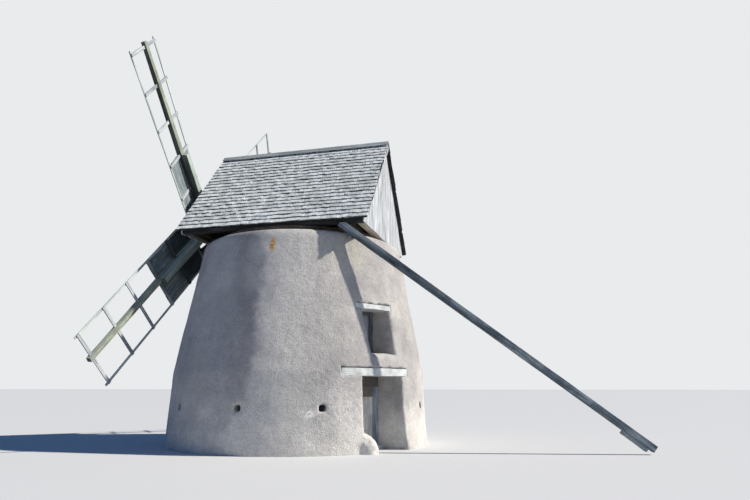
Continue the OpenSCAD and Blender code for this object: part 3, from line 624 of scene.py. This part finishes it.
def wall_r(z):
    """Outer radius of the bare wall at a height, with its rounded shoulder."""
    straight = np.interp(z, [0, WALL_BEND_Z, SHOULDER_Z], [WALL_FOOT_R, WALL_BEND_R, SHOULDER_R])
    sine = 1 - (RIM_Z - z) * (1 - math.sin(SHOULDER_START)) / (RIM_Z - SHOULDER_Z)
    cosine = np.sqrt(np.clip(1 - sine * sine, 0, 1))
    rounded = RIM_R + (SHOULDER_R - RIM_R) * cosine / math.cos(SHOULDER_START)
    return np.where(z < SHOULDER_Z, straight, np.where(z < RIM_Z, rounded, RIM_R))


def coat_of(points):
    """Thickness of the plaster coat: long swells, trowelled lumps and small stones showing through."""
    swell = 0.010 * LATTICE.at(points, 0.8) + 0.008 * LATTICE.at(points + 5, 2.1)
    lumps = 0.005 * LATTICE.at(points + 11, 5.3)
    return np.maximum(COAT_MEAN + swell + lumps, COAT_LEAST)


def coated_wall(points, radius, z):
    """Field that is negative inside the wall and its coat."""
    return np.maximum(radius - wall_r(z) - coat_of(points), z - RIM_Z - COAT)


def opening(v, z, left, right, low, high, rough):
    """Field that is negative inside an opening between two reveals and two heights."""
    return np.maximum.reduce([v - right, -left - v, low - z, z - high]) + rough


def reveal(u, frame_u, seat, mouth_u, mouth):
    """Half width of an opening, which widens from its frame to its mouth in the wall's face."""
    share = np.clip((u - frame_u) / (mouth_u - frame_u), 0, 1.3)
    return seat + (mouth - seat) * share - COAT * (u > frame_u)


def door_field(u, v, z, rough):
    """The doorway, with a right reveal that flares towards the ground."""
    flare = DOOR_FLARE * np.clip(1 - z / DOOR_FLARE_Z, 0, 1) ** 1.5
    left = reveal(u, DOOR_FRAME_U, DOOR_SEAT, WALL_FOOT_R, DOOR_MOUTH)
    right = reveal(u, DOOR_FRAME_U, DOOR_SEAT, WALL_FOOT_R, DOOR_MOUTH + flare)
    in_room = u < DOOR_FRAME_U - DOOR_FRAME_D
    left = np.where(in_room, DOOR_ROOM_SIDE, left)
    right = np.where(in_room, DOOR_ROOM_SIDE, right)
    return opening(v, z, left, right, BELOW_GROUND, DOOR_HEAD_Z, rough)


def window_field(u, v, z, rough):
    """The window's niche, with a left reveal that leans in towards the sill."""
    side = reveal(u, WINDOW_FRAME_U, WINDOW_SEAT, WINDOW_MOUTH_U, WINDOW_MOUTH)
    sill = WINDOW_SILL_Z + 0.02 - SILL_FALL * np.clip(u - SILL_FALL_U, 0, 1)
    share = np.clip((u - WINDOW_FRAME_U - 0.05) / (WINDOW_MOUTH_U - WINDOW_FRAME_U), 0, 1.2)
    below_head = np.clip((WINDOW_HEAD_Z - z) / (WINDOW_HEAD_Z - WINDOW_SILL_Z), 0, 1)
    return opening(v, z, side - WINDOW_LEAN * share * below_head, side, sill, WINDOW_HEAD_Z, rough)


def lintel_bed(v, z, radius, lintel, low):
    """Field that is negative in front of a lintel, where the plaster stops short of the stone."""
    left, right, height = lintel
    sides = np.maximum.reduce([v - right, left - v, low - z, z - low - height - LINTEL_SLOT])
    ragged = 0.030 * LATTICE.at(np.stack([radius, v, z], axis=-1), 9.0)
    return np.maximum(sides + ragged, wall_r(z) - LINTEL_BED - radius)


def kerb_field(points, u, v, z, rough):
    """The rounded kerb at the foot of the door's left jamb, an ellipsoid worn uneven."""
    wide, tall = KERB_R / KERB_HALF, KERB_R / KERB_TOP
    kerb = np.sqrt((u - KERB_U) ** 2 + ((v - KERB_V) * wide) ** 2 + (z * tall) ** 2)
    return (kerb - KERB_R) / wide + 2 * rough + 0.03 * LATTICE.at(points + 23, 3.0)


def bay_field(points, radius, z):
    """Plaster and rubble of the door bay, from the room to the weather side."""
    u = points[..., 0] * BAY_COS + points[..., 1] * BAY_SIN
    v = points[..., 1] * BAY_COS - points[..., 0] * BAY_SIN
    rough = 0.010 * LATTICE.at(points + 3, 4.0) + 0.007 * LATTICE.at(points + 9, 11.0)
    room = ROOM_R + (ROOM_TOP_R - ROOM_R) * z / RIM_Z
    solid = np.maximum(coated_wall(points, radius, z), room - radius)
    solid = smooth_max(solid, -door_field(u, v, z, rough), DOOR_ROUND)
    solid = smooth_max(solid, -window_field(u, v, z, rough), WINDOW_ROUND)
    solid = smooth_max(solid, -lintel_bed(v, z, radius, DOOR_LINTEL, DOOR_HEAD_Z), BED_ROUND)
    solid = smooth_max(solid, -lintel_bed(v, z, radius, WINDOW_LINTEL, WINDOW_HEAD_Z), BED_ROUND)
    solid = smooth_min(solid, kerb_field(points, u, v, z, rough), KERB_ROUND)
    edge = BAY_HALF + np.where(radius > wall_r(z) - BAY_LAP_DEPTH, BAY_LAP, 0)
    return np.maximum(solid, (np.abs(np.arctan2(v, u)) - edge) * radius)


def wall_field(points, radius, z):
    """Plaster coat of the plain wall with its scaffold holes."""
    solid = coated_wall(points, radius, z)
    rough = 0.012 * LATTICE.at(points + 17, 7.0)
    for turn in HOLE_TURNS:
        angle = math.radians(turn)
        ahead = points[..., 0] * math.cos(angle) + points[..., 1] * math.sin(angle)
        aside = points[..., 1] * math.cos(angle) - points[..., 0] * math.sin(angle)
        square = np.maximum(np.abs(aside), np.abs(z - HOLE_Z)) - HOLE_SIDE / 2
        hole = np.maximum(square, HOLE_FACE_R - HOLE_DEPTH - ahead) + rough
        solid = smooth_max(solid, -hole, HOLE_ROUND)
    turn = np.arctan2(points[..., 1], points[..., 0]) - BAY_TURN
    turn = np.abs((turn + math.pi) % (2 * math.pi) - math.pi)
    return np.maximum(solid, (BAY_HALF - COAT_LAP - turn) * radius)


def linked(name, data):
    """A new object in the scene."""
    thing = bpy.data.objects.new(name, data)
    bpy.context.scene.collection.objects.link(thing)
    return thing


def plaster_mesh(name, field, start, sweep, grid):
    """Surface of a field over a stretch of the round wall, sampled by depth, angle and height."""
    depth, proud, step = grid
    depths = np.arange(-depth, proud + step, step)
    angles = np.linspace(start, start + sweep, int(sweep * WALL_BEND_R / step) + 1)
    heights = np.arange(-step / 2, RIM_Z + 3 * step, step)
    q, turn, z = np.meshgrid(depths, angles, heights, indexing="ij")
    radius = wall_r(z) + q
    points = np.stack([radius * np.cos(turn), radius * np.sin(turn), z], axis=-1)
    sampled = field(points, radius, z)
    verts, number = surface_points(sampled)
    quads = np.concatenate([surface_quads(sampled, number, axis) for axis in range(3)])
    height = np.maximum(verts[:, 2] * step - step / 2, 0)
    radius = wall_r(height) + verts[:, 0] * step - depth
    turn = start + verts[:, 1] * (angles[1] - angles[0])
    place = np.stack([radius * np.cos(turn), radius * np.sin(turn), height], axis=1)
    mesh = bpy.data.meshes.new(name)
    mesh.from_pydata(place.tolist(), [], quads.tolist())
    mesh.polygons.foreach_set("use_smooth", [True] * len(quads))
    mesh.materials.append(PLASTER)
    return linked(name, mesh)


# Timbers and boards


def welded(node):
    """A CAD node's shape with its doubled corners joined and its flat faces whole."""
    shape = bmesh.new()
    shape.from_mesh(frame["nodes"][node].data)
    bmesh.ops.remove_doubles(shape, verts=shape.verts, dist=WELD)
    bmesh.ops.dissolve_limit(shape, angle_limit=math.radians(0.5), verts=shape.verts, edges=shape.edges)
    return shape


def labels_of(shape):
    """A number for each corner of a shape, the same within a solid, and the count of solids."""
    shape.verts.index_update()
    label = [-1] * len(shape.verts)
    count = 0
    for seed in shape.verts:
        if label[seed.index] >= 0:
            continue
        stack = [seed]
        label[seed.index] = count
        while stack:
            for edge in stack.pop().link_edges:
                for vert in edge.verts:
                    if label[vert.index] < 0:
                        label[vert.index] = count
                        stack.append(vert)
        count += 1
    return label, count


def solids_of(node):
    """The separate solids of a CAD node, each as a shape of its own."""
    shape = welded(node)
    label, count = labels_of(shape)
    parts = []
    for wanted in range(count):
        part = shape.copy()
        part.verts.ensure_lookup_table()
        doomed = [vert for vert in part.verts if label[vert.index] != wanted]
        bmesh.ops.delete(part, geom=doomed, context="VERTS")
        parts.append(part)
    shape.free()
    return parts


def axes_of(shape):
    """The long, wide and thin directions of a solid."""
    points = np.array([vert.co[:] for vert in shape.verts])
    spread = points - points.mean(0)
    vectors = np.linalg.eigh(spread.T @ spread)[1]
    long, wide, thin = (Vector(vectors[:, k]) for k in (2, 1, 0))
    if long[np.argmax(np.abs(long))] < 0:
        long = -long
    return long.normalized(), wide.normalized(), thin.normalized()


def cut_across(shape, place, normal, keep=None):
    """Cuts a shape by a plane. keep is above or below, and the cut is closed."""
    geom = shape.verts[:] + shape.edges[:] + shape.faces[:]
    result = bmesh.ops.bisect_plane(shape, geom=geom, plane_co=place, plane_no=normal, dist=1e-5,
                                    clear_inner=keep == "above", clear_outer=keep == "below")
    if keep:
        edges = [item for item in result["geom_cut"] if isinstance(item, bmesh.types.BMEdge)]
        bmesh.ops.holes_fill(shape, edges=edges, sides=0)


def reach_of(shape, direction):
    """The least and greatest distance of a shape's corners along a direction."""
    reach = [vert.co.dot(direction) for vert in shape.verts]
    return min(reach), max(reach)


def dress_timber(shape, long, wide, thin, rng, bevel, wobble, step):
    """Rounds the arrises of a timber, cuts it into lengths and makes it a little uneven."""
    sharp = [edge for edge in shape.edges if len(edge.link_faces) == 2 and edge.calc_face_angle(0) > 0.5]
    if bevel:
        bmesh.ops.bevel(shape, geom=sharp, offset=bevel, segments=2, profile=0.6, affect="EDGES",
                        clamp_overlap=True)
    low, high = reach_of(shape, long)
    spans = max(1, round((high - low) / step))
    for k in range(1, spans):
        cut_across(shape, long * (low + (high - low) * k / spans), long)
    shape.normal_update()
    layer = shape.verts.layers.float_vector.new("grain")
    shift = Vector(rng.uniform(-40, 40, 3))
    for vert in shape.verts:
        place = vert.co.copy()
        vert[layer] = Vector((place.dot(long), place.dot(wide), place.dot(thin))) + shift
        lift = wobble * (noise.noise(place * 2.3 + shift) + 0.5 * noise.noise(place * 9.0 + shift))
        vert.co = place + vert.normal * lift


def piece_of(name, shapes, body, material, nodes=()):
    """One object made of several shapes, riding on a body."""
    mesh = bpy.data.meshes.new(name)
    joined = bmesh.new()
    for shape in shapes:
        part = bpy.data.meshes.new("part")
        shape.to_mesh(part)
        joined.from_mesh(part)
        bpy.data.meshes.remove(part)
        shape.free()
    joined.to_mesh(mesh)
    joined.free()
    piece = linked(name, mesh)
    mesh.materials.append(material)
    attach(piece, body)
    if nodes:
        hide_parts(*nodes)
    return piece


def timber(node, material, seed, bevel=0.008, wobble=0.003, step=0.25, long=None, name=None):
    """Old timbers in place of a CAD node."""
    rng = np.random.default_rng(seed)
    shapes = solids_of(node)
    for shape in shapes:
        run, wide, thin = axes_of(shape)
        if long is not None:
            run = Vector(long).normalized()
            wide = run.orthogonal().normalized()
            thin = run.cross(wide)
        dress_timber(shape, run, wide, thin, rng, bevel, wobble, step)
    return piece_of(name or node + "_wood", shapes, BODY_OF[node], material, [node])


def lintels():
    """Rough lintels whose faces follow the round of the wall."""
    rng = np.random.default_rng(21)
    shapes = solids_of("stone_lintels")
    for shape in shapes:
        dress_timber(shape, *axes_of(shape), rng, 0.014, 0.008, 0.12)
        for vert in shape.verts:
            radius = math.hypot(vert.co.x, vert.co.y)
            face = float(wall_r(vert.co.z)) + LINTEL_PROUD + 0.010 * float(LATTICE.at(np.array(vert.co), 9.0))
            if radius > face - LINTEL_SKIN:
                vert.co.x *= face / radius
                vert.co.y *= face / radius
    return piece_of("rough_lintels", shapes, "tower", STONE, ["stone_lintels"])


def run_on(solid, long):
    """Moves the end of a sail's boards that is near the hub on towards it."""
    reach = [(vert.co - HUB).dot(long) for vert in solid.verts]
    inward = -1 if sum(reach) > 0 else 1
    nearest = min(abs(value) for value in reach)
    for vert, value in zip(solid.verts, reach):
        if abs(value) < nearest + 0.05:
            vert.co += long * inward * BOARD_RUN_ON


def sliced(solid, edges, run, side, face, rng, gap, shift, lift, bevel, step):
    """Boards cut from a solid between distances along side, each a little out of line."""
    cut = []
    last = len(edges) - 2
    for k in range(last + 1):
        board = solid.copy()
        start = edges[k] + (gap / 2 if k else -CUT_SPARE)
        end = edges[k + 1] - (gap / 2 if k < last else -CUT_SPARE)
        cut_across(board, side * start, side, keep="above")
        cut_across(board, side * end, side, keep="below")
        if len(board.faces) < 4:
            board.free()
            continue
        move = run * rng.uniform(-shift, shift)
        if lift:
            move += face * rng.uniform(-lift, lift)
        bmesh.ops.translate(board, verts=board.verts, vec=move)
        dress_timber(board, run, side, face, rng, bevel, BOARD_WOBBLE, step)
        cut.append(board)
    solid.free()
    return cut


def boards(node, material, seed, across, along, width, gap=0.005, shift=0.0, lift=0.002, bevel=0.003,
           step=0.4, toward_hub=False):
    """Boards cut side by side from the solids of a CAD node. A None direction is the solid's own."""
    rng = np.random.default_rng(seed)
    cut = []
    for solid in solids_of(node):
        long, wide, _ = axes_of(solid)
        if toward_hub:
            run_on(solid, long)
        run = Vector(along) if along else long
        side = Vector(across) if across else wide
        face = run.cross(side).normalized()
        low, high = reach_of(solid, side)
        count = max(1, round((high - low) / width))
        share = np.cumsum(np.concatenate([[0], rng.uniform(0.8, 1.25, count)]))
        edges = low + (high - low) * share / share[-1]
        cut += sliced(solid, edges, run, side, face, rng, gap, shift, lift, bevel, step)
    return piece_of(node + "_boards", cut, BODY_OF[node], material, [node])


# Roof


class Slope:
    """One roof slope, read from its CAD node: places by distance along, down from the ridge and out."""

    def __init__(self, node):
        low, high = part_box(node)
        self.side = -1 if low.y < -1 else 1
        self.x0, self.x1 = low.x, high.x
        self.ridge_z = high.z
        half = max(abs(low.y), abs(high.y))
        self.pitch = math.atan2(high.z - low.z - ROOF_T * SLAB_RISE, half)
        self.length = half / math.cos(self.pitch)

    def at(self, x, down, out):
        cos_p, sin_p = math.cos(self.pitch), math.sin(self.pitch)
        return (x, self.side * (down * cos_p + out * sin_p), self.ridge_z - down * sin_p + out * cos_p)


def shingle(rng, x, width, butt, lift):
    """Corners of one tapered shingle with its butt at a distance down from the ridge."""
    head = max(butt - SHINGLE_LEN, 0.02)
    skew = rng.uniform(-0.006, 0.006)
    butt_t = SHINGLE_T * rng.uniform(0.8, 1.15)
    corners = []
    for down, thick in ((butt, butt_t), ((butt + head) / 2, SHINGLE_MIDDLE_T), (head, SHINGLE_HEAD_T)):
        rise = (down - head) / SHINGLE_LEN
        level = -SHINGLE_BED + SHINGLE_BED * rise + lift * rise
        for across in (0.0, 0.5, 1.0):
            cup = 0.002 * abs(across - 0.5)
            for out in (level, level - thick):
                slip = skew * (across - 0.5) * 2 * rise
                corners.append((x + width * across, down + slip, out + cup * rise))
    return corners


# Faces of a shingle by the numbers of its corners
SHINGLE_FACES = [
    (0, 2, 8, 6), (2, 4, 10, 8), (6, 8, 14, 12), (8, 10, 16, 14),
    (1, 7, 9, 3), (3, 9, 11, 5), (7, 13, 15, 9), (9, 15, 17, 11),
    (0, 1, 3, 2), (2, 3, 5, 4), (12, 14, 15, 13), (14, 16, 17, 15),
    (0, 6, 7, 1), (6, 12, 13, 7), (4, 5, 11, 10), (10, 11, 17, 16),
]


def lay_course(slope, course, rng, verts, grains):
    """Adds the corners of one course of shingles. Course -1 is the extra one under the first."""
    under = course < 0
    x = slope.x0 - COURSE_START - rng.uniform(0, COURSE_PLAY)
    while x < slope.x1 - SLIVER:
        width = rng.uniform(*SHINGLE_W)
        width = min(width, slope.x1 + rng.uniform(0.0, OVERHANG) - x)
        left = max(x, slope.x0 - rng.uniform(0.0, OVERHANG))
        drop = rng.normal(0, 0.010) + (0.004 if course < 1 else 0)
        butt = slope.length * (1 - max(course, 0) / COURSES) + drop - (EAVES_RISE if under else 0)
        butt = min(butt, slope.length + OVERHANG)
        lift = rng.uniform(-0.003, 0.008) - (EAVES_SINK if under else 0)
        corners = shingle(rng, left, x + width - left, butt, lift)
        shift = rng.uniform(0, 30, 2)
        for along, down, out in corners:
            verts.append(slope.at(along, down, out))
            grains.append((butt - down, along + shift[0], out + shift[1]))
        x += width + rng.choice(SHINGLE_GAPS)


def shingles(name, node, material, seed):
    """Courses of split shingles over one roof slope."""
    rng = np.random.default_rng(seed)
    slope = Slope(node)
    verts, grains = [], []
    for course in range(-1, COURSES):
        lay_course(slope, course, rng, verts, grains)
    turned = [face[::-1] if slope.side > 0 else face for face in SHINGLE_FACES]
    corners = 1 + max(max(face) for face in SHINGLE_FACES)
    faces = [[start + k for k in face] for start in range(0, len(verts), corners) for face in turned]
    mesh = bpy.data.meshes.new(name)
    mesh.from_pydata(verts, [], faces)
    attribute = mesh.attributes.new("grain", "FLOAT_VECTOR", "POINT")
    attribute.data.foreach_set("vector", np.array(grains, np.float32).ravel())
    mesh.materials.append(material)
    piece = linked(name, mesh)
    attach(piece, BODY_OF[node])
    return piece


def roof_boards(node, material, seed):
    """Sheathing boards under the shingles, cut from the lower part of the slope's slab."""
    slope = Slope(node)
    shape = welded(node)
    out = Vector((0, slope.side * math.sin(slope.pitch), math.cos(slope.pitch)))
    down = Vector((0, slope.side * math.cos(slope.pitch), -math.sin(slope.pitch)))
    cut_across(shape, Vector(slope.at(0, 1, -SHINGLE_BED - 0.004)), out, keep="below")
    rng = np.random.default_rng(seed)
    low, high = reach_of(shape, down)
    edges = np.linspace(low, high, round((high - low) / ROOF_BOARD_W) + 1)
    cut = sliced(shape, edges, Vector(ALONG_X), down, out, rng, gap=0.008, shift=0.01, lift=0, bevel=0.003,
                 step=0.6)
    return piece_of(node + "_boards", cut, BODY_OF[node], material, [node])


# Materials of the pieces


PLASTER = lime_plaster()
STONE = limestone()
SHINGLES = shingle_wood(Slope("near_roof").length / COURSES)
IRON = wrought_iron()
SILVER = weathered_wood("gable_wood", srgb(128, 132, 138), srgb(190, 195, 200), srgb(222, 226, 230),
                        srgb(176, 182, 182), 0.30, spread=0.25)
GREY = weathered_wood("cap_wood", srgb(118, 126, 128), srgb(168, 176, 178), srgb(200, 207, 208),
                      srgb(150, 160, 144), 0.30)
DARK = weathered_wood("inner_wood", srgb(58, 50, 42), srgb(92, 82, 70), srgb(122, 112, 98),
                      srgb(100, 96, 84), 0.20)
# under puts painted shade, partly damp, on the faces that look down of the pole and the sail timbers below
POLE = weathered_wood("pole_wood", srgb(50, 59, 66), srgb(112, 124, 132), srgb(176, 186, 190),
                      srgb(104, 116, 112), 0.30, grain_bump=0.010, under=0.50, coarse=0.85)
# Near-black wood as painted shade: the shade under the eaves on the side sills and under the shingles on the
# roof boards
SHADE_BLACK_WOOD = weathered_wood("painted_shade_sill_wood", srgb(26, 26, 28), srgb(48, 48, 50), srgb(74, 74, 74),
                      srgb(52, 58, 48), 0.25)
# The end sills are pale, with painted shade on the one at the side of the sails
PALE = weathered_wood("end_sill_wood", srgb(150, 142, 128), srgb(196, 189, 174), srgb(222, 216, 204),
                      srgb(176, 172, 158), 0.25, sunless=0.85)
STOCK = weathered_wood("stock_wood", srgb(128, 140, 134), srgb(178, 190, 184), srgb(208, 217, 210),
                       srgb(142, 166, 136), 0.40, under=0.92)
WHIP = weathered_wood("whip_wood", srgb(108, 114, 106), srgb(154, 162, 150), srgb(192, 199, 188),
                      srgb(176, 184, 150), 0.40, under=0.97)
# shaded paints the cap's shade on the bars round the hub
BAR = weathered_wood("bar_wood", srgb(118, 126, 130), srgb(176, 184, 190), srgb(216, 222, 226),
                     srgb(186, 190, 176), 0.25, under=0.60, shaded=((-3.60, -1.20, 5.46), 1.45, 0.8))
LATH = weathered_wood("lath_wood", srgb(140, 150, 150), srgb(188, 200, 200), srgb(222, 230, 228),
                      srgb(172, 186, 150), 0.40, under=0.12)
# shaded paints the cap's shade on the sail boards round the hub
SAIL_BOARD = weathered_wood("sail_board_wood", srgb(86, 96, 100), srgb(132, 143, 147), srgb(170, 180, 183),
                            srgb(90, 114, 106), 0.35, under=0.60, shaded=((-3.50, -0.55, 6.00), 1.35, 0.75))
# The door leaf is pale below 1.34 m, standing in for its sunlit patch, and brown above, a painted shadow of
# the lintel
DOOR = weathered_wood("door_wood", srgb(164, 164, 160), srgb(226, 226, 221), srgb(244, 243, 238),
                      srgb(176, 178, 174), 0.25, above=(1.34, srgb(98, 88, 78)))
SHUTTER = weathered_wood("shutter_wood", srgb(110, 116, 122), srgb(162, 170, 177), srgb(196, 203, 208),
                         srgb(140, 146, 148), 0.25)
# The door frame is brown above 1.60 m, a painted shadow of the lintel on its head
DOOR_FRAME = weathered_wood("door_frame_wood", srgb(104, 110, 120), srgb(156, 164, 178),
                            srgb(192, 200, 212), srgb(130, 134, 138), 0.25, above=(1.60, srgb(88, 78, 68)))
FRAME = weathered_wood("window_frame_wood", srgb(62, 64, 66), srgb(104, 112, 122), srgb(140, 150, 162),
                       srgb(98, 100, 98), 0.30)


# Building the pieces


def paint(node, material):
    """Gives a CAD node that stays as it is its material."""
    target = frame["nodes"][node]
    target.data.materials.clear()
    target.data.materials.append(material)


def build_plaster():
    for node in SLOTS:
        if node.startswith("wall_segment"):
            paint(node, PLASTER)
    bay_nodes = ["door_left_jamb", "door_right_jamb", "wall_over_door", "window_left_jamb",
                 "window_right_jamb", "wall_over_window", "doorway_kerb"]
    reach = BAY_HALF + BAY_LAP + GRID_SPARE
    bay = plaster_mesh("bay_plaster", bay_field, BAY_TURN - reach, 2 * reach, BAY_GRID)
    start = BAY_HALF - COAT_LAP - GRID_SPARE
    coat = plaster_mesh("wall_plaster", wall_field, BAY_TURN + start, 2 * (math.pi - start), COAT_GRID)
    for piece in (bay, coat):
        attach(piece, "tower")
    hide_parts(*bay_nodes)
    paint("ground_floor", PLASTER)


def build_tower():
    lintels()
    timber("door_threshold", STONE, 22, bevel=0.015, wobble=0.006, step=0.15, name="worn_threshold")
    for node in ("door_hinge_pins", "door_straps", "pole_bolts"):
        paint(node, IRON)
    timber("door_frame", DOOR_FRAME, 23, bevel=0.006, step=0.3, long=UPRIGHT)
    timber("window_frame", FRAME, 24, bevel=0.006, step=0.3, long=UPRIGHT)
    across = (-BAY_SIN, BAY_COS, 0)
    boards("door_leaf", DOOR, 25, across, UPRIGHT, width=0.20, shift=0.006)
    boards("window_shutter", SHUTTER, 26, across, UPRIGHT, width=0.19, shift=0.006)
    boards("upper_floor", DARK, 27, ALONG_X, ALONG_Y, width=0.24)
    timber("floor_joists", DARK, 28)
    timber("curb_ring", DARK, 29, bevel=0.0, step=9.0)


def build_cap():
    for node, material, seed in (("side_sills", SHADE_BLACK_WOOD, 41), ("end_sills", PALE, 42)):
        timber(node, material, seed, bevel=0.010, wobble=0.004)
    for node, seed in (("neck_beam", 43), ("tail_beam", 44), ("rafters", 45)):
        timber(node, DARK, seed, bevel=0.006)
    timber("ridge_boards", GREY, 46, bevel=0.004, wobble=0.004, long=ALONG_X)
    timber("verge_boards", SILVER, 47, bevel=0.003, wobble=0.002, step=0.4, long=UPRIGHT)
    for node, seed in (("rear_gable", 48), ("front_gable", 49)):
        boards(node, SILVER, seed, ALONG_Y, UPRIGHT, width=0.21, gap=0.008, shift=0.012, lift=0.004)
    for node, name, seed in (("near_roof", "near_shingles", 50), ("far_roof", "far_shingles", 52)):
        shingles(name, node, SHINGLES, seed)
        roof_boards(node, SHADE_BLACK_WOOD, seed + 1)
    timber("tail_pole", POLE, 54, bevel=0.022, wobble=0.006, step=0.20)
    timber("pole_shoe", POLE, 55, bevel=0.010, wobble=0.004, step=0.15)


def build_sails():
    timber("windshaft", STOCK, 61, bevel=0.012, wobble=0.003, step=0.4, long=SHAFT_RUN)
    timber("stocks", STOCK, 62, bevel=0.012, wobble=0.003, step=0.4)
    timber("whips", WHIP, 63, bevel=0.006, wobble=0.002, step=0.4)
    timber("sail_bars", BAR, 64, bevel=0.004, wobble=0.0015, step=0.3)
    timber("long_laths", LATH, 65, bevel=0.004, wobble=0.002, step=0.3)
    boards("sail_boards", SAIL_BOARD, 66, None, None, width=0.19, gap=0.006, shift=0.006, lift=0.0015,
           toward_hub=True)


# Stage, light and camera


def stage():
    mesh = bpy.data.meshes.new("floor")
    far = FLOOR_REACH
    mesh.from_pydata([(-far, -far, 0), (far, -far, 0), (far, far, 0), (-far, far, 0)], [], [(0, 1, 2, 3)])
    floor = linked("floor", mesh)
    g = Graph("floor")
    g.put(g.shader.inputs["Base Color"], srgb(203, 205, 206))
    g.put(g.shader.inputs["Roughness"], 0.9)
    mesh.materials.append(g.material)


def sky():
    """Blue light from the sky, with a plain pale backdrop where the camera sees it."""
    world = bpy.data.worlds.new("studio")
    bpy.context.scene.world = world
    world.use_nodes = True
    tree = world.node_tree
    back = tree.nodes["Background"]
    back.inputs["Color"].default_value = (*srgb(130, 180, 252), 1)
    back.inputs["Strength"].default_value = SKY_STRENGTH
    seen = tree.nodes.new("ShaderNodeBackground")
    seen.inputs["Color"].default_value = (*srgb(233, 235, 237), 1)
    path = tree.nodes.new("ShaderNodeLightPath")
    either = tree.nodes.new("ShaderNodeMath")
    either.operation = "MAXIMUM"
    tree.links.new(path.outputs["Is Camera Ray"], either.inputs[0])
    tree.links.new(path.outputs["Is Transmission Ray"], either.inputs[1])
    both = tree.nodes.new("ShaderNodeMixShader")
    tree.links.new(either.outputs[0], both.inputs[0])
    tree.links.new(back.outputs[0], both.inputs[1])
    tree.links.new(seen.outputs[0], both.inputs[2])
    tree.links.new(both.outputs[0], tree.nodes["World Output"].inputs["Surface"])


def sun():
    lamp = bpy.data.lights.new("key", "SUN")
    lamp.energy = SUN_STRENGTH
    lamp.angle = math.radians(SUN_ANGLE)
    lamp.color = SUN_COLOUR
    key = linked("key", lamp)
    turn, rise = math.radians(SUN_TURN), math.radians(SUN_HEIGHT)
    toward = Vector((math.cos(turn) * math.cos(rise), math.sin(turn) * math.cos(rise), math.sin(rise)))
    key.rotation_mode = "QUATERNION"
    key.rotation_quaternion = toward.to_track_quat("Z", "Y")


def camera():
    lens = bpy.data.cameras.new("camera")
    lens.lens = CAMERA_LENS
    lens.sensor_width = CAMERA_SENSOR
    lens.clip_end = 5 * FLOOR_REACH
    eye = linked("camera", lens)
    eye.location = CAMERA_PLACE
    eye.rotation_euler = (math.radians(90 + CAMERA_UP), 0, math.radians(CAMERA_TURN))
    bpy.context.scene.camera = eye


build_plaster()
build_tower()
build_cap()
build_sails()
stage()
sky()
sun()
camera()
bpy.context.scene.view_settings.view_transform = "Standard"
